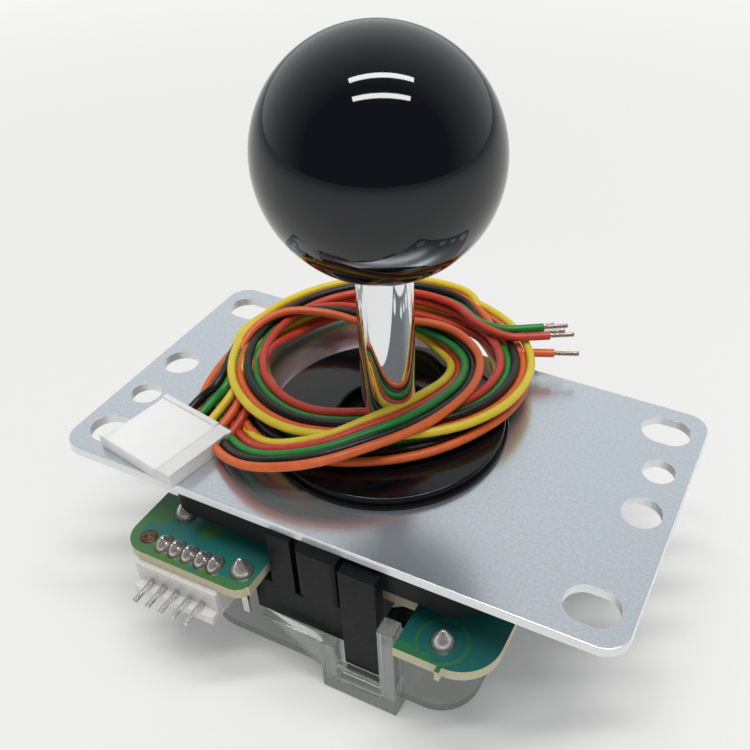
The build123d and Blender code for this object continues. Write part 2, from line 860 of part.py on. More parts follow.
# Harness plug with five contact cavities, a rib over the wires and a ridge along one side
with BuildPart() as harness_plug:
    with BuildSketch(plug_frame):
        Rectangle(plug_width, plug_length, align=(Align.CENTER, Align.MAX))
    extrude(amount=plug_height)
    fillet(harness_plug.edges().filter_by(Axis.Z), plug_edge_round)
    with BuildSketch(plug_frame.offset(plug_height)):
        Rectangle(plug_width - 2 * plug_edge_round, plug_rib_width, align=(Align.CENTER, Align.MAX))
    extrude(amount=plug_rib_height)
    with BuildSketch(plug_frame.offset(plug_height)):
        with Locations((plug_width / 2 - 2 * plug_groove_width, -2 * plug_rib_width)):
            Rectangle(plug_groove_width, plug_length, align=(Align.CENTER, Align.MAX))
    extrude(amount=-plug_groove_depth, mode=Mode.SUBTRACT)
    with BuildSketch(plug_frame.offset(plug_height)):
        with Locations((plug_way_offset, plug_window_inset - plug_length)):
            with GridLocations(way_pitch, 0, way_count, 1):
                Rectangle(plug_window_width, plug_window_length, align=(Align.CENTER, Align.MIN))
    extrude(amount=-plug_groove_depth, mode=Mode.SUBTRACT)
    cavity_middle = plug_wire_height
    with Locations(plug_frame):
        for offset_x in way_offsets:
            with Locations((plug_way_offset + offset_x, -plug_length, cavity_middle)):
                Box(
                    contact_width + 2 * seat_gap,
                    contact_length + contact_inset,
                    contact_height + 2 * seat_gap,
                    align=(Align.CENTER, Align.MIN, Align.CENTER),
                    mode=Mode.SUBTRACT,
                )
save(harness_plug, "harness_plug")

with BuildPart() as plug_contacts:
    with Locations(plug_frame):
        for offset_x in way_offsets:
            with Locations((plug_way_offset + offset_x, contact_inset - plug_length, cavity_middle)):
                Box(
                    contact_width,
                    contact_length,
                    contact_height,
                    align=(Align.CENTER, Align.MIN, Align.CENTER),
                )
save(plug_contacts, "plug_contacts")

# The coil that the five wires make together, lying on the dust washer
with BuildPart() as wire_coil:
    with BuildSketch(level(coil_bottom)):
        with Locations((coil_x, coil_y)):
            Ellipse(coil_half_length, coil_half_width)
        with Locations((coil_hole_x, coil_hole_y)):
            Circle(coil_hole_radius, mode=Mode.SUBTRACT)
    extrude(amount=coil_height)
    fillet(wire_coil.edges().group_by(Axis.Z)[-1], coil_round)
save(wire_coil, "wire_coil")

# Each wire's stretch from the plug to the coil
wire_names = ("black", "green", "yellow", "orange", "red")
for name, offset_x in zip(wire_names, way_offsets):
    start = plug_frame.offset(plug_wire_height).location * Location((plug_way_offset + offset_x, 0, 0))
    with BuildPart() as wire_tube:
        with BuildSketch(Plane(origin=start.position, z_dir=plug_frame.y_dir)):
            Circle(wire_radius)
        extrude(amount=plug_to_coil)
        add(wire_coil.part, mode=Mode.SUBTRACT)
    save(wire_tube, f"wire_{name}")
    print(name, "wire volume", wire_tube.part.volume, "solids", len(wire_tube.part.solids()))

# Each wire's free end behind the coil, and its bare strands
for name, end_x, end_y, end_z, heading in free_ends:
    end_plane = Plane(origin=(end_x, end_y, end_z), z_dir=Vector(1, 0, 0).rotate(Axis.Z, heading))
    with BuildPart() as wire_end:
        with BuildSketch(end_plane):
            Circle(wire_radius)
        extrude(amount=end_length)
        add(wire_coil.part, mode=Mode.SUBTRACT)
    save(wire_end, f"wire_{name}_end")
    print(name, "end volume", wire_end.part.volume, "solids", len(wire_end.part.solids()))

with BuildPart() as bare_strands:
    for name, end_x, end_y, end_z, heading in free_ends:
        end_plane = Plane(origin=(end_x, end_y, end_z), z_dir=Vector(1, 0, 0).rotate(Axis.Z, heading))
        with BuildSketch(end_plane.offset(end_length)):
            Circle(strand_radius)
        extrude(amount=strand_length)
save(bare_strands, "bare_strands")
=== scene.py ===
"""Arcade joystick lever on its steel plate: finishes, harness wires, studio and camera."""

import json
import logging
import math
from collections.abc import Callable
from dataclasses import dataclass, field
from enum import Enum

import bmesh
import bpy
from mathutils import Matrix, Vector

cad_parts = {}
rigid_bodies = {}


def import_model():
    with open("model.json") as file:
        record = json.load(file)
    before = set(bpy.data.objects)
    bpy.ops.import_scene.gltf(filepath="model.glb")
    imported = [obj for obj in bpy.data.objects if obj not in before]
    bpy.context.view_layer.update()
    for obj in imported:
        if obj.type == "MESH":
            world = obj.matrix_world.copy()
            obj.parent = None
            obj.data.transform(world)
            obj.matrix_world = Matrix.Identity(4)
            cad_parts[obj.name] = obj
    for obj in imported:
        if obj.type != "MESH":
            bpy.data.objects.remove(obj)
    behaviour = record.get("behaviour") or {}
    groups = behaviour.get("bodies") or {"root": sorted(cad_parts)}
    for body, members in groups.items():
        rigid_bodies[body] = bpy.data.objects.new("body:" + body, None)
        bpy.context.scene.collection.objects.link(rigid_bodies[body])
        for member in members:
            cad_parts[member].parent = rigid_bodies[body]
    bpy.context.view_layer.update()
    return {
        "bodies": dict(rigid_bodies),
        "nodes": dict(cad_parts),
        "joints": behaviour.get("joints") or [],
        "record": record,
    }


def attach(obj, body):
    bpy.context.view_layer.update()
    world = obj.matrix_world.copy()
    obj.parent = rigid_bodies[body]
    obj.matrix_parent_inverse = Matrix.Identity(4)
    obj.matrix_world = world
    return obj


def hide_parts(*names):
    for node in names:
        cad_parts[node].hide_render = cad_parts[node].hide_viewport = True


LOG = logging.getLogger("joystick_lever")
MM = 0.001
Point = tuple[float, float, float]
Colour = tuple[float, float, float]
Socket = bpy.types.NodeSocket

# Places of the colour sockets on Blender's Mix node.
MIX_FACTOR, MIX_FIRST, MIX_SECOND, MIX_RESULT = 0, 6, 7, 2
# The middle of a noise's range, where nearly all its values lie.
NOISE_SPAN = (0.3, 0.7)
COLOUR_OCTAVES, GLOSS_OCTAVES, GRAIN_OCTAVES, SCRATCH_OCTAVES = 3.0, 4.0, 3.0, 6.0
SCRATCH_STRETCH = (0.05, 1.0, 1.0)
SCRATCH_SPAN = (0.58, 0.72)
LEAST_ROUGHNESS = 0.02
# How much finer the patches of gloss are than the patches of colour.
GLOSS_FINENESS = 2.3
MILK_DEPTH = 0.0025
MILK_RADIUS = (1.0, 0.95, 0.85)
# Corners nearer than this to each other or to a cut are one, in metres.
SAME_CORNER = 1e-7
SAME_CAD_CORNER = 2e-6
SAME_AS_CUT = 1e-8
FLAT_ANGLE = math.radians(1.0)
ROUNDED_ANGLE = math.radians(38.0)
FACE_WEIGHT = 80
# A face looks along an axis where its direction there is more than this.
FACING = 0.5
# How far from a plane, in millimetres, the middle of a face on it may be.
SLACK = 0.01


class Body(Enum):
    """Bodies that the new pieces ride on."""

    BASE = "base"
    LEVER = "lever"


class Grain(Enum):
    """Kinds of fine relief on a finish."""

    NONE = "none"
    CAST = "cast"
    SCRATCHED = "scratched"


def millimetres(point: Point) -> Vector:
    """Turn a point in millimetres into one in metres.

    Args:
        point: The point, in millimetres.

    Returns:
        The same point, in metres.
    """
    return Vector(point) * MM


def put(name: str, data: bpy.types.ID) -> bpy.types.Object:
    """Put an object into the scene.

    Args:
        name: The object's name.
        data: Its mesh, curve, lamp or camera.

    Returns:
        The object.
    """
    made = bpy.data.objects.new(name, data)
    bpy.context.scene.collection.objects.link(made)
    return made


class Tree:
    """Small helper round a node tree."""

    def __init__(self, tree: bpy.types.NodeTree) -> None:
        """Empty the tree.

        Args:
            tree: The node tree of a material or of the world.
        """
        self.tree = tree
        self.tree.nodes.clear()

    def link(self, source: Socket, target: Socket) -> None:
        """Join two sockets."""
        self.tree.links.new(source, target)

    def add(self, kind: str, **settings: object) -> bpy.types.Node:
        """Add a node and set its plain attributes.

        Args:
            kind: The node's Blender type name.
            settings: Attributes to set on the node.

        Returns:
            The new node.
        """
        node = self.tree.nodes.new(kind)
        for key, value in settings.items():
            setattr(node, key, value)
        return node

    def place(self, scale: Point = (1.0, 1.0, 1.0)) -> Socket:
        """Object coordinates, stretched along the axes.

        Args:
            scale: Stretch along X, Y and Z.

        Returns:
            The vector socket.
        """
        coordinates = self.add("ShaderNodeTexCoord")
        mapping = self.add("ShaderNodeMapping")
        mapping.inputs["Scale"].default_value = scale
        self.link(coordinates.outputs["Object"], mapping.inputs["Vector"])
        return mapping.outputs["Vector"]

    def noise(
        self, scale: float, detail: float = 2.0, stretch: Point = (1.0, 1.0, 1.0)
    ) -> Socket:
        """Noise in object space.

        Args:
            scale: Noise scale, per metre.
            detail: Octaves.
            stretch: Stretch of the space along the axes.

        Returns:
            The noise factor's socket.
        """
        texture = self.add("ShaderNodeTexNoise")
        texture.inputs["Scale"].default_value = scale
        texture.inputs["Detail"].default_value = detail
        self.link(self.place(stretch), texture.inputs["Vector"])
        return texture.outputs["Fac"]

    def spread(
        self, source: Socket, low: float, high: float, to_low: float, to_high: float
    ) -> Socket:
        """Map one range of a value to another.

        Args:
            source: The value's socket.
            low: Lower end of the source range.
            high: Upper end of the source range.
            to_low: Result at the lower end.
            to_high: Result at the upper end.

        Returns:
            The mapped value's socket.
        """
        mapped = self.add("ShaderNodeMapRange")
        ends = {"From Min": low, "From Max": high, "To Min": to_low, "To Max": to_high}
        for name, value in ends.items():
            mapped.inputs[name].default_value = value
        self.link(source, mapped.inputs["Value"])
        return mapped.outputs["Result"]

    def blend(self, factor: Socket, first: Socket | Colour, second: Socket | Colour) -> Socket:
        """Blend two colours by a factor.

        Args:
            factor: The factor's socket.
            first: Colour at 0, plain or as a socket.
            second: Colour at 1, plain or as a socket.

        Returns:
            The colour's socket.
        """
        mix = self.add("ShaderNodeMix", data_type="RGBA")
        self.link(factor, mix.inputs[MIX_FACTOR])
        for place, colour in ((MIX_FIRST, first), (MIX_SECOND, second)):
            if isinstance(colour, tuple):
                mix.inputs[place].default_value = (*colour, 1.0)
            else:
                self.link(colour, mix.inputs[place])
        return mix.outputs[MIX_RESULT]

    def combine(self, operation: str, first: Socket, second: Socket) -> Socket:
        """Work out one value from two.

        Args:
            operation: Blender's name of the sum to do.
            first: First value's socket.
            second: Second value's socket.

        Returns:
            The result's socket.
        """
        total = self.add("ShaderNodeMath", operation=operation)
        self.link(first, total.inputs[0])
        self.link(second, total.inputs[1])
        return total.outputs[0]

    def shine(self, kind: str, colour: Colour, strength: float = 1.0) -> bpy.types.Node:
        """Add a shader that gives off one colour.

        Args:
            kind: The shader's Blender type name.
            colour: Its colour.
            strength: Its strength.

        Returns:
            The shader's node.
        """
        node = self.add(kind)
        node.inputs["Color"].default_value = (*colour, 1.0)
        node.inputs["Strength"].default_value = strength
        return node

    def layer(self, factor: Socket, first: Socket, second: Socket) -> Socket:
        """Mix two shaders by a factor.

        Args:
            factor: The factor's socket.
            first: Shader at 0.
            second: Shader at 1.

        Returns:
            The mixed shader's socket.
        """
        mix = self.add("ShaderNodeMixShader")
        for place, source in enumerate((factor, first, second)):
            self.link(source, mix.inputs[place])
        return mix.outputs[0]

    def in_view(self) -> Socket:
        """Value that is 1 for rays from the camera, straight or through a clear piece.

        Returns:
            The value's socket.
        """
        path = self.add("ShaderNodeLightPath")
        straight, through = path.outputs["Is Camera Ray"], path.outputs["Is Transmission Ray"]
        return self.combine("MAXIMUM", straight, through)

    def upright(self, normal: Socket) -> Socket:
        """How far a surface faces up or down.

        Args:
            normal: The surface's direction.

        Returns:
            A socket that is 1 on flat tops and undersides and 0 on upright sides.
        """
        parts = self.add("ShaderNodeSeparateXYZ")
        self.link(normal, parts.inputs[0])
        size = self.add("ShaderNodeMath", operation="ABSOLUTE")
        self.link(parts.outputs["Z"], size.inputs[0])
        return size.outputs[0]


class Nodes(Tree):
    """Node tree of one new material, round a principled shader."""

    def __init__(self, name: str) -> None:
        """Make a material with an output and a principled shader.

        Args:
            name: The material's name.
        """
        self.material = bpy.data.materials.new(name)
        self.material.use_nodes = True
        super().__init__(self.material.node_tree)
        self.output = self.add("ShaderNodeOutputMaterial")
        self.shader = self.add("ShaderNodeBsdfPrincipled")
        self.link(self.shader.outputs["BSDF"], self.output.inputs["Surface"])

    def relief(self, height: Socket, distance: float, strength: float) -> None:
        """Give the shader a bump from a height.

        Args:
            height: The height's socket.
            distance: Depth of the relief, in metres.
            strength: Strength of the bump.
        """
        bump = self.add("ShaderNodeBump")
        bump.inputs["Distance"].default_value = distance
        bump.inputs["Strength"].default_value = strength
        self.link(height, bump.inputs["Height"])
        self.link(bump.outputs["Normal"], self.shader.inputs["Normal"])

    def settle(self, values: dict[str, float]) -> None:
        """Set plain numbers on the shader's own sockets.

        Args:
            values: Socket name to value.
        """
        for name, value in values.items():
            self.shader.inputs[name].default_value = value


@dataclass(frozen=True)
class Finish:
    """One finish: colour, gloss and fine relief.

    Lengths are in metres, scales are per metre, and rim is the colour of upright sides, a painted
    highlight that makes them read as lit edges.
    """

    name: str
    colour: Colour
    second: Colour
    roughness: float
    roughness_spread: float = 0.06
    metal: float = 0.0
    clear: float = 0.0
    index: float = 1.5
    specular: float = 0.5
    milk: float = 0.0
    mottle: float = 900.0
    grain: Grain = Grain.CAST
    grain_scale: float = 4000.0
    grain_depth: float = 0.00003
    grain_strength: float = 0.15
    # Painted highlight on upright sides: its colour, its metal, and where it starts and is whole.
    rim: Colour | None = None
    rim_highlight_metal: float = 0.25
    rim_highlight_from: float = 0.98
    rim_highlight_full: float = 0.85

    def build(self) -> bpy.types.Material:
        """Build the material.

        Returns:
            The finished material.
        """
        nodes = Nodes(self.name)
        nodes.settle(
            {"Metallic": self.metal, "IOR": self.index, "Specular IOR Level": self.specular}
        )
        patches = nodes.spread(nodes.noise(self.mottle, COLOUR_OCTAVES), *NOISE_SPAN, 0.0, 1.0)
        colour = nodes.blend(patches, self.colour, self.second)
        if self.rim:
            colour = self.paint_rim_highlight(nodes, colour)
        nodes.link(colour, nodes.shader.inputs["Base Color"])
        rough = nodes.spread(
            nodes.noise(self.mottle * GLOSS_FINENESS, GLOSS_OCTAVES),
            *NOISE_SPAN,
            max(LEAST_ROUGHNESS, self.roughness - self.roughness_spread),
            self.roughness + self.roughness_spread,
        )
        nodes.link(rough, nodes.shader.inputs["Roughness"])
        if self.clear:
            nodes.settle({"Transmission Weight": self.clear})
        if self.milk:
            nodes.settle({"Subsurface Weight": self.milk, "Subsurface Scale": MILK_DEPTH})
            nodes.shader.inputs["Subsurface Radius"].default_value = MILK_RADIUS
        self.engrave(nodes)
        return nodes.material

    def paint_rim_highlight(self, nodes: Nodes, colour: Socket) -> Socket:
        """Paint a highlight on upright sides: make them paler and less metallic than flat faces.

        Args:
            nodes: The material's nodes.
            colour: Colour of the flat faces.

        Returns:
            The colour's socket for the whole surface.
        """
        normal = nodes.add("ShaderNodeTexCoord").outputs["Normal"]
        # Painted highlight: the share of pale colour rises as a face turns upright.
        side = nodes.spread(nodes.upright(normal), self.rim_highlight_from, self.rim_highlight_full, 0.0, 1.0)
        metal = nodes.spread(side, 0.0, 1.0, self.metal, self.rim_highlight_metal)
        nodes.link(metal, nodes.shader.inputs["Metallic"])
        return nodes.blend(side, colour, self.rim)

    def engrave(self, nodes: Nodes) -> None:
        """Add the fine relief.

        Args:
            nodes: The material's nodes.
        """
        if self.grain is Grain.CAST:
            height = nodes.noise(self.grain_scale, GRAIN_OCTAVES)
        elif self.grain is Grain.SCRATCHED:
            fine = nodes.noise(self.grain_scale, SCRATCH_OCTAVES, SCRATCH_STRETCH)
            height = nodes.spread(fine, *SCRATCH_SPAN, 0.0, 1.0)
        else:
            return
        nodes.relief(height, self.grain_depth, self.grain_strength)


def wire_skin(colour: str, main: Colour, dull: Colour) -> Finish:
    """Finish of one wire's insulation.

    Args:
        colour: The colour's name.
        main: The insulation's colour.
        dull: Its colour where it is rubbed.

    Returns:
        The finish.
    """
    return Finish(
        f"wire_{colour}_pvc", main, dull, 0.36, 0.1, mottle=420.0, grain_scale=2500.0,
        grain_strength=0.12,
    )


FINISHES = (
    Finish(
        "ball_black", (0.002, 0.003, 0.006), (0.003, 0.004, 0.007), 0.035, 0.012,
        mottle=60.0, grain_scale=350.0, grain_strength=0.01,
    ),
    Finish(
        "chrome", (0.86, 0.87, 0.88), (0.82, 0.83, 0.85), 0.04, 0.015, metal=1.0,
        mottle=120.0, grain_scale=500.0, grain_strength=0.015,
    ),
    Finish("steel", (0.55, 0.55, 0.56), (0.48, 0.48, 0.5), 0.3, 0.08, metal=1.0),
    # Zinc plate, with a painted highlight (rim) on its upright sides and hole walls.
    Finish(
        "zinc_plate", (0.71, 0.765, 0.82), (0.61, 0.665, 0.72), 0.22, 0.03, metal=0.85,
        mottle=2000.0, grain=Grain.NONE, rim=(0.92, 0.94, 0.95),
    ),
    Finish(
        "washer_black", (0.003, 0.003, 0.004), (0.006, 0.006, 0.007), 0.13, 0.05,
        mottle=240.0, grain=Grain.SCRATCHED, grain_scale=900.0, grain_strength=0.22,
    ),
    Finish(
        "housing_black", (0.005, 0.0055, 0.0065), (0.008, 0.0085, 0.0095), 0.40, 0.08,
        specular=0.12,
    ),
    Finish("nylon_black", (0.010, 0.010, 0.011), (0.014, 0.014, 0.015), 0.38, specular=0.35),
    Finish("black_screw", (0.03, 0.03, 0.03), (0.05, 0.05, 0.05), 0.4, metal=0.8),
    Finish(
        "nylon_white", (0.94, 0.94, 0.93), (0.92, 0.92, 0.905), 0.34, 0.06, milk=0.25,
        mottle=300.0,
    ),
    Finish(
        "header_milky", (0.92, 0.91, 0.89), (0.87, 0.86, 0.84), 0.24, 0.05, clear=0.22, milk=0.5,
        mottle=260.0,
    ),
    Finish(
        "pad_copper", (0.15, 0.06, 0.025), (0.09, 0.04, 0.02), 0.34, 0.08, metal=0.3, mottle=1600.0,
        grain_scale=2600.0,
    ),
    Finish("spring_steel", (0.55, 0.55, 0.55), (0.42, 0.42, 0.43), 0.28, metal=1.0),
    Finish(
        "solder", (0.84, 0.80, 0.78), (0.66, 0.61, 0.59), 0.27, 0.09, metal=0.85,
        mottle=1100.0, grain_scale=1000.0, grain_strength=0.4,
    ),
    Finish("tin_pin", (0.74, 0.72, 0.67), (0.6, 0.58, 0.53), 0.22, metal=1.0),
    Finish(
        "clear_gate", (0.79, 0.81, 0.80), (0.76, 0.785, 0.775), 0.10, 0.04, clear=0.93,
        index=1.49, mottle=200.0, grain_scale=900.0,
    ),
    Finish("switch_black", (0.015, 0.015, 0.015), (0.022, 0.022, 0.022), 0.45),
    Finish("switch_red", (0.5, 0.03, 0.02), (0.42, 0.02, 0.015), 0.4),
    Finish("strand_copper", (0.72, 0.66, 0.6), (0.55, 0.46, 0.38), 0.3, metal=1.0, mottle=3000.0),
    wire_skin("black", (0.006, 0.006, 0.006), (0.012, 0.012, 0.012)),
    wire_skin("green", (0.022, 0.27, 0.045), (0.018, 0.22, 0.036)),
    wire_skin("yellow", (0.84, 0.66, 0.05), (0.76, 0.57, 0.035)),
    wire_skin("orange", (0.82, 0.16, 0.035), (0.72, 0.125, 0.028)),
    wire_skin("red", (0.66, 0.065, 0.035), (0.55, 0.045, 0.026)),
)


@dataclass(frozen=True)
class BoardFinish:
    """Green solder mask with teal copper zones, a ring round one pad and a cream edge.

    Lengths are in metres and scales are per metre. Right of a given X the copper is whole, and the
    mask there is darker with painted shade, standing in for the plate's shadow on those lobes.
    """

    name: str
    green: Colour = (0.062, 0.18, 0.055)
    teal: Colour = (0.022, 0.16, 0.145)
    # Painted shade: darker copies of the mask's colours for the lobes that lie under the plate.
    painted_shade_green: Colour = (0.030, 0.15, 0.055)
    painted_shade_teal: Colour = (0.014, 0.115, 0.105)
    resin: Colour = (0.66, 0.62, 0.42)
    fibre: Colour = (0.54, 0.50, 0.33)
    fibre_scale: float = 2400.0
    zone_scale: float = 82.0
    zone_stretch: Point = (1.0, 0.8, 0.2)
    zone_span: tuple[float, float] = (0.44, 0.46)
    wander_scale: float = 170.0
    wander_stretch: Point = (1.0, 1.0, 0.2)
    wander: float = 0.0022
    front_limit: float = -0.0304
    left_limit: float = -0.0294
    limit_blur: float = 0.0003
    # X from which the painted shade darkens the mask.
    painted_shade_from: float = -0.004
    ring_place: Point = (0.0227, -0.0271, 0.0)
    ring_inner: float = 0.0036
    ring_outer: float = 0.0041
    ring_blur: float = 0.0001
    edge_span: tuple[float, float] = (0.5, 0.7)
    edge_roughness: float = 0.6
    mask_roughness: float = 0.24
    track_depth: float = 0.00004
    track_strength: float = 0.4

    def build(self) -> bpy.types.Material:
        """Build the material.

        Returns:
            The finished material.
        """
        nodes = Nodes(self.name)
        axes = nodes.add("ShaderNodeSeparateXYZ")
        nodes.link(nodes.place(), axes.inputs[0])
        # right is 1 over the right lobes: whole copper there, and the painted shade below.
        right = self.step(nodes, axes.outputs["X"], self.painted_shade_from, self.limit_blur)
        zones = nodes.combine("MULTIPLY", self.zones(nodes, axes, right), self.ring(nodes, axes))
        lit = nodes.blend(zones, self.green, self.teal)
        # Painted shade: the same zones in the darker, shaded colours.
        painted_shade_mask = nodes.blend(zones, self.painted_shade_green, self.painted_shade_teal)
        mask = nodes.blend(right, lit, painted_shade_mask)
        edge = nodes.blend(nodes.noise(self.fibre_scale), self.resin, self.fibre)
        normal = nodes.add("ShaderNodeNewGeometry").outputs["True Normal"]
        face = nodes.spread(nodes.upright(normal), *self.edge_span, 0.0, 1.0)
        rough = nodes.spread(face, 0.0, 1.0, self.edge_roughness, self.mask_roughness)
        nodes.link(nodes.blend(face, edge, mask), nodes.shader.inputs["Base Color"])
        nodes.link(rough, nodes.shader.inputs["Roughness"])
        nodes.relief(zones, self.track_depth, self.track_strength)
        return nodes.material

    def step(self, nodes: Nodes, value: Socket, limit: float, blur: float) -> Socket:
        """Rise from 0 to 1 where a value passes a limit.

        Args:
            nodes: The material's nodes.
            value: The value's socket.
            limit: Where the rise starts.
            blur: How far it takes.

        Returns:
            The step's socket.
        """
        return nodes.spread(value, limit, limit + blur, 0.0, 1.0)

    def zones(self, nodes: Nodes, axes: bpy.types.Node, right: Socket) -> Socket:
        """Copper zones: patches on the left, whole on the right, none along the rim.

        Args:
            nodes: The material's nodes.
            axes: The node that gives X and Y.
            right: Socket that is 1 over the right lobes.

        Returns:
            A socket that is 1 over copper.
        """
        blots = nodes.noise(self.zone_scale, 1.0, self.zone_stretch)
        patches = nodes.spread(blots, *self.zone_span, 0.0, 1.0)
        zones = nodes.combine("MAXIMUM", patches, right)
        sway = nodes.noise(self.wander_scale, 1.0, self.wander_stretch)
        wander = nodes.spread(sway, *NOISE_SPAN, -self.wander, self.wander)
        for axis, limit in (("Y", self.front_limit), ("X", self.left_limit)):
            wavy = nodes.combine("ADD", axes.outputs[axis], wander)
            inward = self.step(nodes, wavy, limit, self.limit_blur)
            zones = nodes.combine("MULTIPLY", zones, inward)
        return zones

    def ring(self, nodes: Nodes, axes: bpy.types.Node) -> Socket:
        """Gap in the copper, all round one pad.

        Args:
            nodes: The material's nodes.
            axes: The node that gives X and Y.

        Returns:
            A socket that is 0 in the gap and 1 elsewhere.
        """
        flat = nodes.add("ShaderNodeCombineXYZ")
        for axis in ("X", "Y"):
            nodes.link(axes.outputs[axis], flat.inputs[axis])
        away = nodes.add("ShaderNodeVectorMath", operation="DISTANCE")
        nodes.link(flat.outputs[0], away.inputs[0])
        away.inputs[1].default_value = self.ring_place
        reach = away.outputs["Value"]
        inside = nodes.spread(reach, self.ring_inner, self.ring_inner + self.ring_blur, 1.0, 0.0)
        outside = self.step(nodes, reach, self.ring_outer, self.ring_blur)
        return nodes.combine("MAXIMUM", inside, outside)


@dataclass
class Wardrobe:
    """Every finish, built once and looked up by the record's slot name."""

    built: dict[str, bpy.types.Material] = field(default_factory=dict)

    def fill(self) -> None:
        """Build every material."""
        for finish in (*FINISHES, BoardFinish("board_green")):
            self.built[finish.name] = finish.build()

    def get(self, slot: str) -> bpy.types.Material:
        """Material of one slot."""
        return self.built[slot]


def join_flat(mesh: bmesh.types.BMesh) -> None:
    """Join neighbouring faces that lie in one plane."""
    bmesh.ops.dissolve_limit(mesh, angle_limit=FLAT_ANGLE, verts=mesh.verts, edges=mesh.edges)


class Piece:
    """A finished piece under construction, as a bmesh in metres."""

    def __init__(self, name: str) -> None:
        """Start an empty piece.

        Args:
            name: The piece's name.
        """
        self.name = name
        self.mesh = bmesh.new()

    def spin_profile(self, profile: list[tuple[float, float]], centre: Point, steps: int) -> None:
        """Spin a closed profile round an upright axis.

        Args:
            profile: Radius and height of each corner, in millimetres.
            centre: A point on the axis, in millimetres.
            steps: Number of segments round the axis.
        """
        middle = millimetres(centre)
        corners = [
            self.mesh.verts.new(middle + Vector((radius * MM, 0.0, height * MM)))
            for radius, height in profile
        ]
        edges = [self.mesh.edges.new((a, b)) for a, b in zip(corners, corners[1:])]
        bmesh.ops.spin(
            self.mesh,
            geom=corners + edges,
            cent=middle,
            axis=(0.0, 0.0, 1.0),
            angle=math.tau,
            steps=steps,
            use_merge=True,
        )
        bmesh.ops.remove_doubles(self.mesh, verts=self.mesh.verts, dist=SAME_CORNER)

    def block(self, low: Point, high: Point) -> None:
        """Add a block.

        Args:
            low: Its lowest corner, in millimetres.
            high: Its highest corner, in millimetres.
        """
        size = millimetres(high) - millimetres(low)
        middle = 0.5 * (millimetres(high) + millimetres(low))
        bmesh.ops.create_cube(
            self.mesh, size=1.0, matrix=Matrix.Translation(middle) @ Matrix.Diagonal((*size, 1.0))
        )
        self.mesh.normal_update()

    def cut(self, place: Point, normal: Point) -> None:
        """Cut every face along a plane.

        Args:
            place: A point of the plane, in millimetres.
            normal: The direction it faces.
        """
        bmesh.ops.bisect_plane(
            self.mesh,
            geom=[*self.mesh.verts, *self.mesh.edges, *self.mesh.faces],
            dist=SAME_AS_CUT,
            plane_co=millimetres(place),
            plane_no=normal,
        )

    def push(self, chosen: Callable[[Vector, Vector], bool], travel: Point) -> None:
        """Extrude the faces that a test picks, and move them.

        Args:
            chosen: Test of a face's middle, in millimetres, and its outward direction.
            travel: How far the faces move, in millimetres.
        """
        self.mesh.normal_update()
        faces = [
            face for face in self.mesh.faces
            if chosen(face.calc_center_median() / MM, face.normal)
        ]
        made = bmesh.ops.extrude_face_region(self.mesh, geom=faces)
        moved = [part for part in made["geom"] if isinstance(part, bmesh.types.BMVert)]
        bmesh.ops.translate(self.mesh, verts=moved, vec=millimetres(travel))

    def stretch(self, centre: Point, reach: float, share: float) -> None:
        """Stretch what stands round a point from front to back.

        Args:
            centre: The point, in millimetres.
            reach: How far from it the stretched part may stand, in millimetres.
            share: Share of its size that it gets along Y.
        """
        middle = millimetres(centre)
        near = [
            vertex for vertex in self.mesh.verts
            if (vertex.co - middle).to_2d().length < reach * MM
        ]
        bmesh.ops.scale(
            self.mesh, vec=(1.0, share, 1.0), space=Matrix.Translation(-middle), verts=near
        )

    def finish(
        self, material: bpy.types.Material, body: Body, slot: str, smooth: bool = True
    ) -> bpy.types.Object:
        """Turn the bmesh into an object that rides on a body.

        Args:
            material: The piece's material.
            body: The body that carries it.
            slot: The record's material slot; not used.
            smooth: Whether faces are shaded smooth.

        Returns:
            The finished object.
        """
        bmesh.ops.recalc_face_normals(self.mesh, faces=self.mesh.faces)
        for face in self.mesh.faces:
            face.smooth = smooth
        data = bpy.data.meshes.new(self.name)
        self.mesh.to_mesh(data)
        self.mesh.free()
        data.materials.append(material)
        made = put(self.name, data)
        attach(made, body.value)
        LOG.info("made %s", self.name)
        return made


def soften(made: bpy.types.Object, width: float, segments: int, even: bool = True) -> None:
    """Round a piece's sharp edges and even its shading.

    Args:
        made: The piece.
        width: Width of the rounding, in millimetres.
        segments: Segments across each rounded edge.
        even: Whether large faces keep their shading flat.
    """
    bevel = made.modifiers.new("edges", "BEVEL")
    bevel.width = width * MM
    bevel.segments = segments
    bevel.limit_method = "ANGLE"
    bevel.angle_limit = ROUNDED_ANGLE
    if even:
        weighted = made.modifiers.new("even", "WEIGHTED_NORMAL")
        weighted.keep_sharp = True
        weighted.weight = FACE_WEIGHT


@dataclass(frozen=True)
class SoftenedNode:
    """A copy of a CAD node with merged faces and edges rounded by width millimetres."""

    node: str
    width: float
    segments: int = 2

    def build(
        self, frame: dict, material: bpy.types.Material, body: str, slot: str
    ) -> bpy.types.Object:
        """Copy, merge and soften the node.

        Args:
            material: The piece's material.
            body: The body that carries it.
            slot: The record's material slot; not used.

        Returns:
            The finished object.
        """
        mesh = bmesh.new()
        mesh.from_mesh(frame["nodes"][self.node].data)
        bmesh.ops.remove_doubles(mesh, verts=mesh.verts, dist=SAME_CAD_CORNER)
        join_flat(mesh)
        for face in mesh.faces:
            face.smooth = True
        data = bpy.data.meshes.new(f"{self.node}_soft")
        mesh.to_mesh(data)
        mesh.free()
        data.materials.clear()
        data.materials.append(material)
        made = put(f"{self.node}_soft", data)
        soften(made, self.width, self.segments)
        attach(made, body)
        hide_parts(self.node)
        LOG.info("softened %s", self.node)
        return made


class Order(Enum):
    """Which wire lies where across the ribbon: place of each wire, outwards positive."""

    PLUG = (2.0, 1.0, 0.0, -1.0, -2.0)
    INNER_YELLOW = (1.0, 0.0, -2.0, 2.0, -1.0)
    OUTER_YELLOW = (0.0, -1.0, 2.0, 1.0, -2.0)


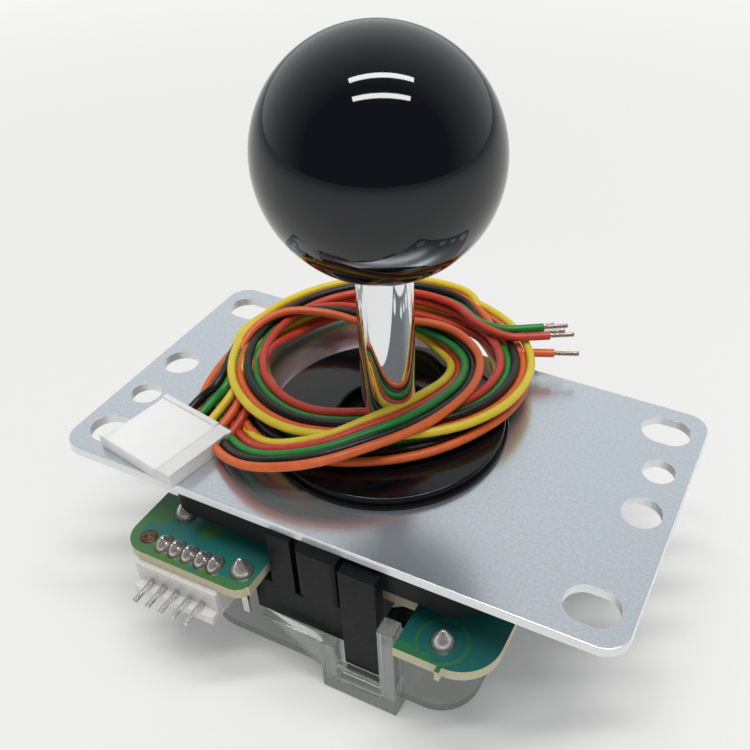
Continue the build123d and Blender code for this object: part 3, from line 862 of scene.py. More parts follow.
@dataclass(frozen=True)
class WindingKey:
    """One station of the ribbon of wires as it goes round the lever."""

    order: Order
    turned: float
    radius: float
    height: float
    pitch: float
    roll: float = 0.0


@dataclass(frozen=True)
class Wire:
    """One wire of the harness."""

    colour: str
    start: Point
    end: Point
    end_heading: float
    length: float


WINDING = tuple(
    WindingKey(order, *numbers)
    for order, keys in (
        (
            Order.PLUG,
            (
                (-146.0, 21.6, 4.9, 1.7), (-168.0, 21.4, 5.6, 1.5), (-195.0, 21.8, 3.2, 1.45),
                (-240.0, 24.5, 2.4, 1.45), (-285.0, 25.5, 2.6, 1.45),
            ),
        ),
        (
            Order.INNER_YELLOW,
            (
                (-330.0, 25.8, 2.6, 1.4), (-375.0, 20.4, 3.6, 1.5), (-420.0, 17.2, 3.8, 2.1),
                (-465.0, 18.0, 2.7, 2.1), (-510.0, 19.4, 1.9, 1.7), (-555.0, 23.6, 5.4, 1.6, 120.0),
                (-600.0, 13.8, 7.4, 1.35, 180.0), (-645.0, 14.6, 6.2, 1.35, 110.0),
                (-690.0, 17.4, 6.0, 1.35, 25.0), (-735.0, 16.4, 7.4, 1.4), (-780.0, 19.6, 8.4, 1.6),
                (-817.0, 25.2, 5.0, 1.6), (-843.0, 25.3, 1.3, 1.56), (-870.0, 25.9, 0.9, 1.56),
            ),
        ),
        (
            Order.OUTER_YELLOW,
            (
                (-915.0, 25.4, 3.4, 1.2), (-960.0, 26.4, 4.0, 1.25), (-1005.0, 26.6, 4.4, 1.35),
                (-1050.0, 26.4, 5.0, 1.35), (-1095.0, 20.6, 6.0, 1.35), (-1140.0, 15.4, 6.3, 1.4),
                (-1185.0, 17.0, 5.2, 1.45), (-1230.0, 20.6, 5.6, 1.4), (-1275.0, 23.0, 5.6, 1.2),
                (-1320.0, 26.0, 5.4, 1.1), (-1365.0, 26.5, 6.4, 1.3),
            ),
        ),
    )
    for numbers in keys
)

WIRES = (
    Wire("black", (-32.2, -11.95, 1.6), (14.93, 31.43, 4.6), 32.0, 0.495),
    Wire("green", (-29.74, -12.40, 1.6), (15.73, 30.03, 6.9), 32.0, 0.495),
    Wire("yellow", (-27.28, -12.85, 1.6), (12.23, 33.67, 3.4), 40.0, 0.495),
    Wire("orange", (-24.82, -13.30, 1.6), (19.25, 26.47, 4.6), 24.0, 0.495),
    Wire("red", (-22.36, -13.75, 1.6), (17.63, 28.07, 6.9), 31.0, 0.495),
)


def midway(before: float, first: float, second: float, after: float) -> float:
    """Value halfway between two stations, on a smooth line through four."""
    return (9.0 * (first + second) - before - after) / 16.0


@dataclass
class Harness:
    """Five wires from the plug, wound round the lever in one loose coil, with bare tips.

    Lengths are in millimetres and angles in degrees.
    """

    centre_x: float = -8.0
    centre_y: float = 7.0
    wire_radius: float = 0.75
    plug_heading: float = 79.7
    plug_run: float = 3.5
    plug_climb: float = 1.2
    lowest: float = 0.8
    swell: float = 1.012
    cross_height: float = 0.8
    stack: float = 1.56
    run_in: tuple[float, float] = (7.5, 3.5)
    bend_share: float = 0.55
    bend_back: float = 4.6
    skin_detail: int = 3
    curve_detail: int = 6
    tip_strands: int = 5
    tip_length: float = 4.4
    tip_radius: float = 0.17
    tip_turns: float = 1.3
    tip_inset: float = 0.6
    tip_spread: float = 0.26
    tip_steps: int = 20
    tip_sides: int = 8

    def build(self, wardrobe: Wardrobe) -> None:
        """Lay every wire and its bare tip.

        Args:
            wardrobe: The built finishes.
        """
        for index, wire in enumerate(WIRES):
            tip = self.bare_tip(wire, wardrobe)
            self.lay(index, wire, wardrobe)

    def stations(self, index: int) -> list[Point]:
        """Control points of one wire round the lever.

        Args:
            index: The wire's place in the list of wires.

        Returns:
            The points, in millimetres.
        """
        points = []
        last = len(WINDING) - 1
        for number, key in enumerate(WINDING):
            place = key.order.value[index]
            here = (key.turned, key.radius, key.height, key.pitch, key.roll)
            points.append(self.station(*here, place))
            if number == 0 or number == last:
                continue
            four = [WINDING[min(max(number + step, 0), last)] for step in (-1, 0, 1, 2)]
            radius, height, pitch, roll = (
                midway(*(getattr(one, name) for one in four))
                for name in ("radius", "height", "pitch", "roll")
            )
            ahead = WINDING[number + 1].order.value[index]
            lift = self.cross_height * (ahead - place)
            turned = 0.5 * (four[1].turned + four[2].turned)
            points.append(
                self.station(turned, radius, height + lift, pitch, roll, 0.5 * (place + ahead))
            )
        return points

    def station(
        self, turned: float, radius: float, height: float, pitch: float, roll: float, place: float
    ) -> Point:
        """Point of one wire at one station of the ribbon.

        Args:
            turned: Angle of the station, in degrees.
            radius: Radius of the ribbon's middle.
            height: Height of the ribbon's middle.
            pitch: Distance between neighbouring wires.
            roll: How far the ribbon has rolled over, in degrees.
            place: The wire's place across the ribbon.

        Returns:
            The point, in millimetres.
        """
        weave = 0.5 * math.sqrt(max(0.0, self.stack**2 - pitch**2)) * math.cos(math.pi * place)
        tilt = math.radians(roll)
        out = place * pitch * math.cos(tilt) - weave * math.sin(tilt)
        rise = place * pitch * math.sin(tilt) + weave * math.cos(tilt)
        reach = self.swell * (radius + out)
        angle = math.radians(turned)
        return (
            self.centre_x + reach * math.cos(angle),
            self.centre_y + reach * math.sin(angle),
            max(self.lowest, height + rise),
        )

    def route(self, index: int, wire: Wire) -> list[Point]:
        """Whole route of one wire.

        Args:
            index: The wire's place in the list of wires.
            wire: The wire.

        Returns:
            Control points from the plug to the cut end, in millimetres.
        """
        away = math.radians(self.plug_heading)
        x, y, z = wire.start
        leave = (
            x + self.plug_run * math.cos(away),
            y + self.plug_run * math.sin(away),
            z + self.plug_climb,
        )
        round_lever = self.stations(index)
        back = math.radians(wire.end_heading)
        end_x, end_y, end_z = wire.end
        run_in = [
            (end_x - step * math.cos(back), end_y - step * math.sin(back), end_z)
            for step in self.run_in
        ]
        last_x, last_y, last_z = round_lever[-1]
        bend_x = self.bend_share * last_x + (1.0 - self.bend_share) * run_in[0][0]
        bend = (bend_x, last_y - self.bend_back, 0.5 * (last_z + end_z))
        return [wire.start, leave, *round_lever, bend, *run_in, wire.end]

    def lay(self, index: int, wire: Wire, wardrobe: Wardrobe) -> None:
        """Lay one wire as a cord.

        Args:
            index: The wire's place in the list of wires.
            wire: The wire.
            wardrobe: The built finishes.
        """
        name = f"harness_wire_{wire.colour}"
        curve = bpy.data.curves.new(name, "CURVE")
        curve.dimensions = "3D"
        curve.bevel_depth = self.wire_radius * MM
        curve.bevel_resolution = self.skin_detail
        curve.resolution_u = self.curve_detail
        curve.use_fill_caps = True
        route = self.route(index, wire)
        spline = curve.splines.new("NURBS")
        spline.points.add(len(route) - 1)
        for point, place in zip(spline.points, route):
            point.co = (*millimetres(place), 1.0)
        spline.order_u = 3
        spline.use_endpoint_u = True
        curve.materials.append(wardrobe.get(f"wire_{wire.colour}_pvc"))
        laid = put(name, curve)
        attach(laid, Body.BASE.value)
        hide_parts(f"wire_{wire.colour}", f"wire_{wire.colour}_end", "wire_coil")
        LOG.info("laid %s", name)

    def bare_tip(self, wire: Wire, wardrobe: Wardrobe) -> bpy.types.Object:
        """Twist the bare strands at one wire's end.

        Args:
            wire: The wire.
            wardrobe: The built finishes.

        Returns:
            The strands.
        """
        piece = Piece(f"bare_strands_{wire.colour}")
        heading = math.radians(wire.end_heading)
        along = Vector((math.cos(heading), math.sin(heading), 0.0))
        root = millimetres(wire.end) - along * self.tip_inset * MM
        aside = Vector((0.0, 0.0, self.tip_spread * MM))
        for strand in range(self.tip_strands):
            turn = Matrix.Rotation(math.tau * strand / self.tip_strands, 3, along)
            middle = root + turn @ aside
            facing = along.to_track_quat("Z", "Y").to_matrix().to_4x4()
            made = bmesh.ops.create_circle(
                piece.mesh,
                cap_ends=True,
                segments=self.tip_sides,
                radius=self.tip_radius * MM,
                matrix=Matrix.Translation(middle) @ facing,
            )
            faces = list({face for vertex in made["verts"] for face in vertex.link_faces})
            bmesh.ops.spin(
                piece.mesh,
                geom=faces,
                cent=root,
                axis=along,
                dvec=along * (self.tip_length + self.tip_inset) * MM / self.tip_steps,
                angle=math.tau * self.tip_turns,
                steps=self.tip_steps,
            )
        made_tip = piece.finish(wardrobe.get("strand_copper"), Body.BASE, "strand_copper")
        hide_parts("bare_strands")
        return made_tip


@dataclass
class Lever:
    """Ball top, chromed shaft, and what turns with them.

    Lengths are in millimetres and angles in degrees.
    """

    ball_radius: float = 17.5
    ball_centre: float = 49.5
    ball_flat: float = 5.6
    bore_radius: float = 4.42
    bore_depth: float = 14.0
    shaft_radius: float = 4.4
    shaft_shoulder: float = -1.4
    shaft_foot: float = -32.5
    lower_radius: float = 3.2
    groove_radius: float = 2.6
    groove_top: float = -30.28
    groove_bottom: float = -30.92
    chamfer: float = 0.5
    bore_lip: float = 0.25
    flat_lip: float = 0.3
    thread_radius: float = 2.9
    thread_length: float = 10.0
    shoulder_round: float = 0.3
    sharp_angle: float = 30.0
    round_steps: int = 128
    ball_steps: int = 72

    def build(self, frame: dict, wardrobe: Wardrobe) -> None:
        """Build the lever's pieces.

        Args:
            wardrobe: The built finishes.
        """
        self.ball(wardrobe)
        self.shaft(wardrobe)
        for node, slot, width in (
            ("ball_insert", "steel", 0.15),
            ("actuator", "nylon_black", 0.25),
            ("retaining_clip", "spring_steel", 0.06),
        ):
            SoftenedNode(node, width).build(frame, wardrobe.get(slot), Body.LEVER.value, slot)

    def ball(self, wardrobe: Wardrobe) -> None:
        """Spin the ball, with its small flat and the bore for its insert.

        Args:
            wardrobe: The built finishes.
        """
        flat = math.asin(self.ball_flat / self.ball_radius)
        arc = [
            math.pi - flat - (math.pi - flat) * step / self.ball_steps
            for step in range(self.ball_steps + 1)
        ]
        bottom = self.ball_centre - self.ball_radius * math.cos(flat)
        profile = [
            (0.0, bottom + self.bore_depth),
            (self.bore_radius, bottom + self.bore_depth),
            (self.bore_radius, bottom + self.bore_lip),
            (self.bore_radius + self.bore_lip, bottom),
            (self.ball_flat - self.flat_lip, bottom),
            *(
                (
                    max(0.0, self.ball_radius * math.sin(angle)),
                    self.ball_centre + self.ball_radius * math.cos(angle),
                )
                for angle in arc
            ),
        ]
        piece = Piece("ball_top_gloss")
        piece.spin_profile(profile, (0.0, 0.0, 0.0), self.round_steps)
        made = piece.finish(wardrobe.get("ball_black"), Body.LEVER, "ball_black")
        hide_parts("ball_top")

    def shaft(self, wardrobe: Wardrobe) -> None:
        """Spin the shaft from its thread down past the clip groove to its foot.

        Args:
            wardrobe: The built finishes.
        """
        top = self.ball_centre - math.sqrt(self.ball_radius**2 - self.ball_flat**2)
        profile = [
            (0.0, top + self.thread_length),
            (self.thread_radius - self.chamfer, top + self.thread_length),
            (self.thread_radius, top + self.thread_length - self.chamfer),
            (self.thread_radius, top),
            (self.shaft_radius - self.shoulder_round, top),
            (self.shaft_radius, top - self.shoulder_round),
            (self.shaft_radius, self.shaft_shoulder + self.shoulder_round),
            (self.shaft_radius - self.shoulder_round, self.shaft_shoulder),
            (self.lower_radius, self.shaft_shoulder),
            (self.lower_radius, self.groove_top),
            (self.groove_radius, self.groove_top),
            (self.groove_radius, self.groove_bottom),
            (self.lower_radius, self.groove_bottom),
            (self.lower_radius, self.shaft_foot + self.chamfer),
            (self.lower_radius - self.chamfer, self.shaft_foot),
            (0.0, self.shaft_foot),
        ]
        piece = Piece("shaft_chrome")
        piece.spin_profile(profile, (0.0, 0.0, 0.0), self.round_steps)
        made = piece.finish(wardrobe.get("chrome"), Body.LEVER, "chrome")
        for edge in made.data.edges:
            edge.use_edge_sharp = False
        made.data.set_sharp_from_angle(angle=math.radians(self.sharp_angle))
        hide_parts("shaft")


@dataclass
class DustWasher:
    """Loose glossy disc round the lever, with a thin rim below its round shoulder.

    Lengths are in millimetres and angles in degrees.
    """

    shift_x: float = -1.2
    shift_y: float = 1.6
    radius: float = 19.9
    rim_radius: float = 20.5
    rim_height: float = 0.75
    thickness: float = 2.0
    hole: float = 8.8
    edge: float = 0.3
    edge_steps: int = 6
    foot_round: float = 0.2
    hole_round: float = 0.25
    sharp_angle: float = 40.0
    round_steps: int = 128

    def build(self, wardrobe: Wardrobe) -> None:
        """Spin the washer.

        Args:
            wardrobe: The built finishes.
        """
        quarter = [math.radians(90.0 * step / self.edge_steps) for step in range(self.edge_steps + 1)]
        foot = (self.hole, self.foot_round)
        profile = [
            foot,
            (self.hole + self.foot_round, 0.0),
            (self.rim_radius - self.foot_round, 0.0),
            (self.rim_radius, self.foot_round),
            (self.rim_radius, self.rim_height - self.foot_round),
            (self.rim_radius - self.foot_round, self.rim_height),
            (self.radius, self.rim_height),
            *(
                (
                    self.radius - self.edge + self.edge * math.cos(angle),
                    self.thickness - self.edge + self.edge * math.sin(angle),
                )
                for angle in quarter
            ),
            (self.hole + self.hole_round, self.thickness),
            (self.hole, self.thickness - self.hole_round),
            foot,
        ]
        piece = Piece("dust_washer_disc")
        piece.spin_profile(profile, (self.shift_x, self.shift_y, 0.0), self.round_steps)
        made = piece.finish(wardrobe.get("washer_black"), Body.BASE, "washer_black")
        made.data.set_sharp_from_angle(angle=math.radians(self.sharp_angle))
        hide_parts("dust_washer")


@dataclass
class HarnessPlug:
    """Flat white plug on the plate: side lug, rib over the wires, ridge and five openings.

    Lengths are in millimetres. The corner is the right front foot, the plug's own origin.
    """

    corner: Point = (-24.3, -27.1, 0.0)
    heading: float = -10.3
    width: float = 15.7
    length: float = 13.4
    height: float = 2.6
    lug_reach: float = 1.2
    lug_length: float = 2.6
    rib_depth: float = 1.0
    rib_rise: float = 0.4
    ridge_width: float = 2.3
    ridge_rise: float = 0.2
    groove_width: float = 0.6
    groove_depth: float = 0.35
    first_way: float = -10.2
    way_pitch: float = 2.15
    ways: int = 5
    opening_width: float = 1.1
    opening_foot: float = 0.35
    opening_top: float = 1.15
    opening_depth: float = 6.5
    contact_width: float = 0.9
    contact_inset: float = 2.0
    contact_length: float = 4.0
    contact_height: float = 0.6
    contact_lift: float = 0.1
    contact_wall: float = 0.15
    contact_sink: float = 0.4
    softness: float = 0.2
    soft_segments: int = 3

    def build(self, wardrobe: Wardrobe) -> None:
        """Build the plug and the contacts in it.

        Args:
            wardrobe: The built finishes.
        """
        body = self.body()
        self.settle(body)
        made = body.finish(wardrobe.get("nylon_white"), Body.BASE, "nylon_white", smooth=False)
        soften(made, self.softness, self.soft_segments, even=False)
        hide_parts("harness_plug")
        contacts = self.contacts()
        self.settle(contacts)
        seated = contacts.finish(wardrobe.get("tin_pin"), Body.BASE, "tin_pin", smooth=False)
        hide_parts("plug_contacts")

    def settle(self, piece: Piece) -> None:
        """Turn a piece from the plug's own axes to its place on the plate."""
        turn = Matrix.Rotation(math.radians(self.heading), 4, "Z")
        place = Matrix.Translation(millimetres(self.corner)) @ turn
        bmesh.ops.transform(piece.mesh, matrix=place, verts=piece.mesh.verts)

    def body(self) -> Piece:
        """Cut and push a block into the plug's shape, in its own axes.

        Returns:
            The plug's body, its right front foot at the origin.
        """
        piece = Piece("harness_plug_white")
        piece.block((-self.width, 0.0, 0.0), (0.0, self.length, self.height))
        ridge, groove = -self.ridge_width, -self.ridge_width - self.groove_width
        rib = self.length - self.rib_depth
        for place in (ridge, groove):
            piece.cut((place, 0.0, 0.0), (1.0, 0.0, 0.0))
        for place in (self.lug_length, rib):
            piece.cut((0.0, place, 0.0), (0.0, 1.0, 0.0))
        piece.push(
            lambda at, out: out.x < -FACING
            and at.x < SLACK - self.width
            and at.y < self.lug_length,
            (-self.lug_reach, 0.0, 0.0),
        )
        piece.push(
            lambda at, out: out.z > FACING and groove < at.x < ridge and at.y < rib,
            (0.0, 0.0, -self.groove_depth),
        )
        piece.push(
            lambda at, out: out.z > FACING and at.x > ridge and at.y < rib,
            (0.0, 0.0, self.ridge_rise),
        )
        piece.push(
            lambda at, out: out.z > FACING and at.x < groove and at.y > rib,
            (0.0, 0.0, self.rib_rise),
        )
        join_flat(piece.mesh)
        self.open_ways(piece)
        return piece

    def middles(self) -> list[float]:
        """Middle of each way, along the plug's width."""
        return [self.first_way + self.way_pitch * way for way in range(self.ways)]

    def open_ways(self, piece: Piece) -> None:
        """Sink one opening for each way into the front face.

        Args:
            piece: The plug's body.
        """
        for place in (self.opening_foot, self.opening_top):
            piece.cut((0.0, 0.0, place), (0.0, 0.0, 1.0))
        middles = self.middles()
        half = 0.5 * self.opening_width
        for middle in middles:
            for side in (middle - half, middle + half):
                piece.cut((side, 0.0, 0.0), (1.0, 0.0, 0.0))
        piece.push(
            lambda at, out: out.y < -FACING
            and at.y < SLACK
            and self.opening_foot < at.z < self.opening_top
            and any(abs(at.x - middle) < half for middle in middles),
            (0.0, self.opening_depth, 0.0),
        )

    def contacts(self) -> Piece:
        """Make one open channel of tinned strip in each way, in the plug's own axes.

        Returns:
            The contacts.
        """
        piece = Piece("plug_contacts_tin")
        half = 0.5 * self.contact_width
        foot = self.opening_foot + self.contact_lift
        top = foot + self.contact_height
        front, back = self.contact_inset, self.contact_inset + self.contact_length
        for middle in self.middles():
            piece.block((middle - half, front, foot), (middle + half, back, top))
        tops = [face for face in piece.mesh.faces if face.normal.z > FACING]
        bmesh.ops.inset_individual(piece.mesh, faces=tops, thickness=self.contact_wall * MM)
        bmesh.ops.translate(
            piece.mesh,
            verts=list({vertex for face in tops for vertex in face.verts}),
            vec=(0.0, 0.0, -self.contact_sink * MM),
        )
        return piece


@dataclass
class SolderJoints:
    """Bright tin solder on the board's top, each joint on its ring of bare copper.

    Lengths are in millimetres. A dome or cone lists radius and height from foot to tip.
    """

    board_top: float = -11.0
    seat: float = 0.05
    header_y: float = -29.8
    header_x: float = -21.0
    header_pitch: float = 2.5
    near: Point = (-11.6, -28.8, 0.0)
    far: Point = (22.7, -27.1, 0.0)
    header_stretch: float = 1.42
    dome: tuple[tuple[float, float], ...] = (
        (1.16, 0.12), (1.12, 0.4), (1.0, 0.8), (0.82, 1.15), (0.6, 1.42), (0.42, 1.6),
        (0.32, 1.85), (0.2, 1.95),
    )
    cone: tuple[tuple[float, float], ...] = (
        (1.75, 0.1), (1.72, 0.4), (1.5, 0.95), (1.2, 1.45), (0.9, 1.9), (0.62, 2.35),
        (0.4, 2.7), (0.2, 2.88),
    )
    tip_rise: float = 0.03
    foot_spread: float = 0.04
    ring_width: float = 0.2
    ring_tuck: float = 0.2
    ring_rise: float = 0.06
    ring_slope: float = 0.05
    stretch_margin: float = 0.1
    spare_pad: tuple[float, float] = (-29.4, -29.5)
    spare_bore: float = 0.35
    spare_reach: float = 1.5
    steps: int = 32

    def build(self, wardrobe: Wardrobe) -> None:
        """Build the joints of the header and of the switches, and their copper rings.

        Args:
            wardrobe: The built finishes.
        """
        header = [
            (self.header_x + self.header_pitch * place, self.header_y, self.board_top)
            for place in (-2, -1, 0, 1, 2)
        ]
        made = self.joints("header_joints", header, self.dome, self.header_stretch, wardrobe)
        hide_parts("header_solder")
        rings = self.rings("header_joints_rings", header, self.dome, self.header_stretch)
        self.spare_ring(rings)
        rings.finish(wardrobe.get("pad_copper"), Body.BASE, "board_green")
        quarters = [Matrix.Rotation(math.radians(90.0 * turn), 3, "Z") for turn in range(4)]
        switch = [
            (*(quarter @ Vector(place))[:2], self.board_top)
            for quarter in quarters
            for place in (self.near, self.far)
        ]
        made = self.joints("switch_joints", switch, self.cone, 1.0, wardrobe)
        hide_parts("switch_solder")
        rings = self.rings("switch_joints_rings", switch, self.cone, 1.0)
        rings.finish(wardrobe.get("pad_copper"), Body.BASE, "board_green")

    def joints(
        self,
        name: str,
        places: list[Point],
        outline: tuple[tuple[float, float], ...],
        stretch: float,
        wardrobe: Wardrobe,
    ) -> bpy.types.Object:
        """Spin a set of alike joints.

        Args:
            name: Name of the piece of solder.
            places: Foot of each joint.
            outline: Radius and height from foot to tip.
            stretch: How much longer a joint is than wide, from front to back.
            wardrobe: The built finishes.

        Returns:
            The solder.
        """
        foot, tip = outline[0][0], outline[-1][1] + self.tip_rise
        under = [(0.0, -self.seat), (foot + self.foot_spread, -self.seat)]
        solder = Piece(name)
        for place in places:
            solder.spin_profile([*under, *outline, (0.0, tip)], place, self.steps)
            solder.stretch(place, foot + self.ring_width + self.stretch_margin, stretch)
        return solder.finish(wardrobe.get("solder"), Body.BASE, "solder")

    def rings(
        self, name: str, places: list[Point], outline: tuple[tuple[float, float], ...], stretch: float
    ) -> Piece:
        """Spin the copper rings under a set of alike joints.

        Args:
            name: Name of the rings' piece.
            places: Foot of each joint.
            outline: Radius and height of a joint from foot to tip.
            stretch: How much longer a ring is than wide, from front to back.

        Returns:
            The rings, unfinished.
        """
        inner, outer = outline[0][0] - self.ring_tuck, outline[0][0] + self.ring_width
        profile = [
            (inner, -self.seat),
            (outer, -self.seat),
            (outer, 0.5 * self.ring_rise),
            (outer - self.ring_slope, self.ring_rise),
            (inner, self.ring_rise),
            (inner, -self.seat),
        ]
        rings = Piece(name)
        for place in places:
            rings.spin_profile(profile, place, self.steps)
            rings.stretch(place, outer + self.stretch_margin, stretch)
        return rings

    def spare_ring(self, rings: Piece) -> None:
        """Add the ring of the pad that has no pin, left of the header.

        Args:
            rings: The header's rings.
        """
        profile = [
            (self.spare_bore, -self.seat),
            (self.spare_reach, -self.seat),
            (self.spare_reach, self.ring_rise),
            (self.spare_bore, self.ring_rise),
            (self.spare_bore, -self.seat),
        ]
        rings.spin_profile(profile, (*self.spare_pad, self.board_top), self.steps)


# Finish of a node where it isn't the one that the node's record slot names.
SPECIAL_FINISH = {"header_body": "header_milky"}


@dataclass
class SoftGroup:
    """Nodes of one sub-assembly: name, record slot and edge rounding in millimetres of each."""

    name: str
    nodes: tuple[tuple[str, str, float], ...]

    def build(self, frame: dict, wardrobe: Wardrobe) -> None:
        """Soften and dress each node.

        Args:
            wardrobe: The built finishes.
        """
        carried = frame["record"]["behaviour"]["bodies"]
        bodies = {node: body for body, nodes in carried.items() for node in nodes}
        for node, slot, width in self.nodes:
            finish = wardrobe.get(SPECIAL_FINISH.get(node, slot))
            SoftenedNode(node, width).build(frame, finish, bodies[node], slot)
        LOG.info("built %s", self.name)


GROUPS = (
    SoftGroup(
        "plate", (("mounting_plate", "zinc_plate", 0.04), ("plate_screws", "black_screw", 0.12))
    ),
    SoftGroup("pivot", (("pivot", "nylon_black", 0.15), ("spring_washer", "nylon_black", 0.1))),
    SoftGroup("housing", (("housing", "housing_black", 0.22),)),
    SoftGroup(
        "board",
        (
            ("circuit_board", "board_green", 0.08),
            ("header_body", "nylon_white", 0.2),
            ("header_pins", "tin_pin", 0.08),
            ("switch_terminals", "tin_pin", 0.05),
        ),
    ),
    SoftGroup(
        "gate", (("gate_frame", "clear_gate", 0.2), ("restrictor_plate", "clear_gate", 0.15))
    ),
    SoftGroup(
        "switches",
        tuple(
            entry
            for side in ("front", "right", "back", "left")
            for entry in (
                (f"switch_case_{side}", "switch_black", 0.15),
                (f"switch_lever_{side}", "spring_steel", 0.05),
                (f"switch_plunger_{side}", "switch_red", 0.05),
            )
        ),
    ),
)


@dataclass
class CentringSpring:
    """The coil spring under the pivot, kept as the solid's own shape."""

    node: str = "centring_spring"

    def build(self, frame: dict, wardrobe: Wardrobe) -> None:
        """Dress the spring.

        Args:
            wardrobe: The built finishes.
        """
        kept = frame["nodes"][self.node]
        kept.data.materials.clear()
        kept.data.materials.append(wardrobe.get("spring_steel"))
        LOG.info("dressed %s", self.node)


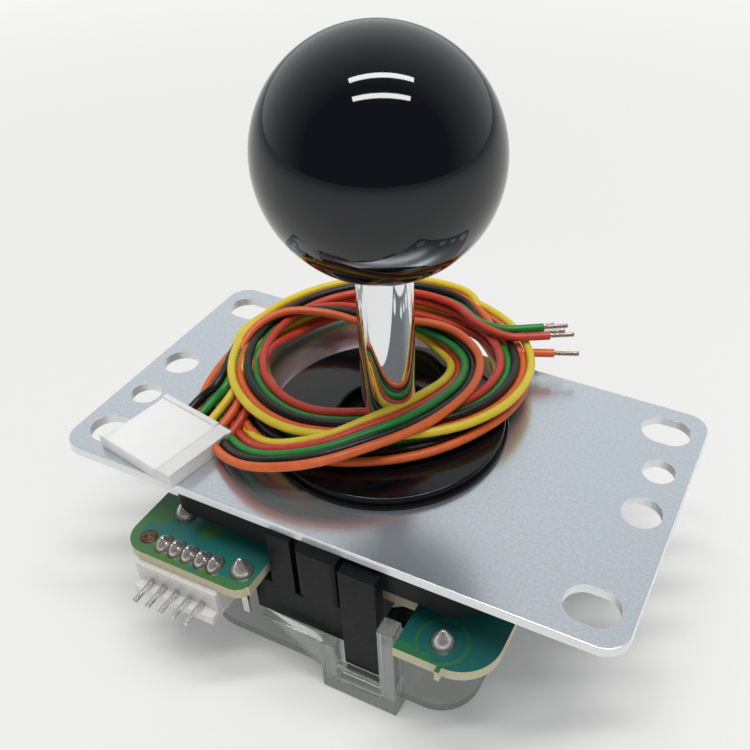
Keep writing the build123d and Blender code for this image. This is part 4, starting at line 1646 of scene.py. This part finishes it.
@dataclass
class Studio:
    """Camera, lamps, pale surroundings and floor.

    The camera's place and the floor's height are in millimetres, other lengths in metres.
    """

    camera_place: Point = (56.89, -101.36, 103.62)
    azimuth: float = 25.55
    elevation: float = 38.37
    roll: float = 0.14
    focal_pixels: float = 922.28
    image_side: float = 750.0
    principal_x: float = 435.4
    principal_y: float = 375.5
    sensor: float = 36.0
    near_clip: float = 0.005
    far_clip: float = 20.0
    floor_height: float = -33.0
    floor_reach: float = 6.0
    floor_roughness: float = 0.9
    floor_colour: Colour = (0.92, 0.92, 0.91)
    backdrop: Colour = (0.93, 0.928, 0.918)
    shadow_reach: float = 0.14
    fade_reach: float = 0.4
    glow_near: float = 0.12
    tube_length: float = 0.7
    tube_width: float = 0.07
    tube_power: float = 3.0
    tube_colour: Colour = (1.0, 0.99, 0.97)
    tube_back: Point = (0.026, 0.066, 0.9)
    tube_front: Point = (0.163, -0.181, 0.9)
    back_heading: float = 32.5
    front_heading: float = 31.0
    sky: Colour = (0.97, 0.985, 1.0)
    ambient: float = 0.37
    bright_side: Point = (-0.43, 0.90, -0.35)
    bright_span: tuple[float, float] = (-0.45, 0.55)
    mirror_span: tuple[float, float] = (0.10, 0.80)

    def camera(self) -> None:
        """Set up the camera at the photograph's viewpoint."""
        azimuth, elevation = math.radians(self.azimuth), math.radians(self.elevation)
        back = Vector(
            (
                math.sin(azimuth) * math.cos(elevation),
                -math.cos(azimuth) * math.cos(elevation),
                math.sin(elevation),
            )
        )
        right = (-back).cross(Vector((0.0, 0.0, 1.0))).normalized()
        above = right.cross(-back)
        roll = math.radians(self.roll)
        across = math.cos(roll) * right + math.sin(roll) * above
        upward = -math.sin(roll) * right + math.cos(roll) * above
        turn = Matrix((across, upward, back)).transposed().to_4x4()
        lens = bpy.data.cameras.new("studio_camera")
        lens.sensor_width = self.sensor
        lens.lens = self.sensor * self.focal_pixels / self.image_side
        lens.shift_x = (self.image_side / 2 - self.principal_x) / self.image_side
        lens.shift_y = (self.principal_y - self.image_side / 2) / self.image_side
        lens.clip_start, lens.clip_end = self.near_clip, self.far_clip
        made = put("studio_camera", lens)
        made.matrix_world = Matrix.Translation(millimetres(self.camera_place)) @ turn
        bpy.context.scene.camera = made

    def tube(self, name: str, place: Point, heading: float) -> None:
        """Hang one long tube lamp that faces down.

        Args:
            name: The lamp's name.
            place: Its centre, in metres.
            heading: Direction of its length from +X, in degrees.
        """
        data = bpy.data.lights.new(name, "AREA")
        data.shape = "RECTANGLE"
        data.size, data.size_y = self.tube_length, self.tube_width
        data.energy = self.tube_power
        data.color = self.tube_colour
        made = put(name, data)
        made.location = place
        made.rotation_euler = (0.0, 0.0, math.radians(heading))

    def surroundings(self) -> None:
        """Pale world: bright behind the object, dim in front and above for reflections."""
        world = bpy.data.worlds.new("studio_world")
        bpy.context.scene.world = world
        world.use_nodes = True
        nodes = Tree(world.node_tree)
        output = nodes.add("ShaderNodeOutputWorld")
        coordinates = nodes.add("ShaderNodeTexCoord")
        towards = nodes.add("ShaderNodeVectorMath", operation="DOT_PRODUCT")
        towards.inputs[1].default_value = self.bright_side
        nodes.link(coordinates.outputs["Generated"], towards.inputs[0])
        ramp = nodes.spread(towards.outputs["Value"], *self.bright_span, *self.mirror_span)
        mirrored = nodes.shine("ShaderNodeBackground", self.sky)
        nodes.link(ramp, mirrored.inputs["Strength"])
        ambient = nodes.shine("ShaderNodeBackground", self.sky, self.ambient)
        seen = nodes.shine("ShaderNodeBackground", self.backdrop)
        glossy = nodes.add("ShaderNodeLightPath").outputs["Is Glossy Ray"]
        unseen = nodes.layer(glossy, ambient.outputs[0], mirrored.outputs[0])
        whole = nodes.layer(nodes.in_view(), unseen, seen.outputs[0])
        nodes.link(whole, output.inputs["Surface"])

    def floor(self) -> None:
        """Pale floor under the gate that keeps the object's shadow."""
        nodes = Nodes("studio_floor")
        nodes.shader.inputs["Base Color"].default_value = (*self.floor_colour, 1.0)
        nodes.settle({"Roughness": self.floor_roughness, "Specular IOR Level": 0.0})
        glow = nodes.shine("ShaderNodeEmission", self.backdrop)
        away = nodes.add("ShaderNodeVectorMath", operation="LENGTH")
        nodes.link(nodes.place(), away.inputs[0])
        far = nodes.spread(
            away.outputs["Value"], self.shadow_reach, self.fade_reach, self.glow_near, 1.0
        )
        share = nodes.combine("MULTIPLY", nodes.in_view(), far)
        mixed = nodes.layer(share, nodes.shader.outputs["BSDF"], glow.outputs[0])
        nodes.link(mixed, nodes.output.inputs["Surface"])
        mesh = bmesh.new()
        bmesh.ops.create_grid(mesh, x_segments=2, y_segments=2, size=self.floor_reach)
        bmesh.ops.translate(mesh, verts=mesh.verts, vec=(0.0, 0.0, self.floor_height * MM))
        data = bpy.data.meshes.new("studio_floor")
        mesh.to_mesh(data)
        mesh.free()
        data.materials.append(nodes.material)
        made = put("studio_floor", data)

    def build(self) -> None:
        """Set up everything round the object."""
        bpy.context.scene.view_settings.view_transform = "Standard"
        self.camera()
        self.tube("tube_back", self.tube_back, self.back_heading)
        self.tube("tube_front", self.tube_front, self.front_heading)
        self.surroundings()
        self.floor()
        LOG.info("set up the studio")


def corners(box: tuple[Vector, Vector]) -> list[list[float]]:
    """Two corners as plain lists of numbers."""
    return [list(box[0]), list(box[1])]


def main() -> None:
    """Build the joystick lever in its studio."""
    logging.basicConfig(level=logging.INFO, format="%(message)s")
    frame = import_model()
    studio = Studio()
    studio.build()
    wardrobe = Wardrobe()
    wardrobe.fill()
    Harness().build(wardrobe)
    Lever().build(frame, wardrobe)
    DustWasher().build(wardrobe)
    HarnessPlug().build(wardrobe)
    SolderJoints().build(wardrobe)
    CentringSpring().build(frame, wardrobe)
    for group in GROUPS:
        group.build(frame, wardrobe)
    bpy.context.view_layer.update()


if __name__ == "__main__":
    main()
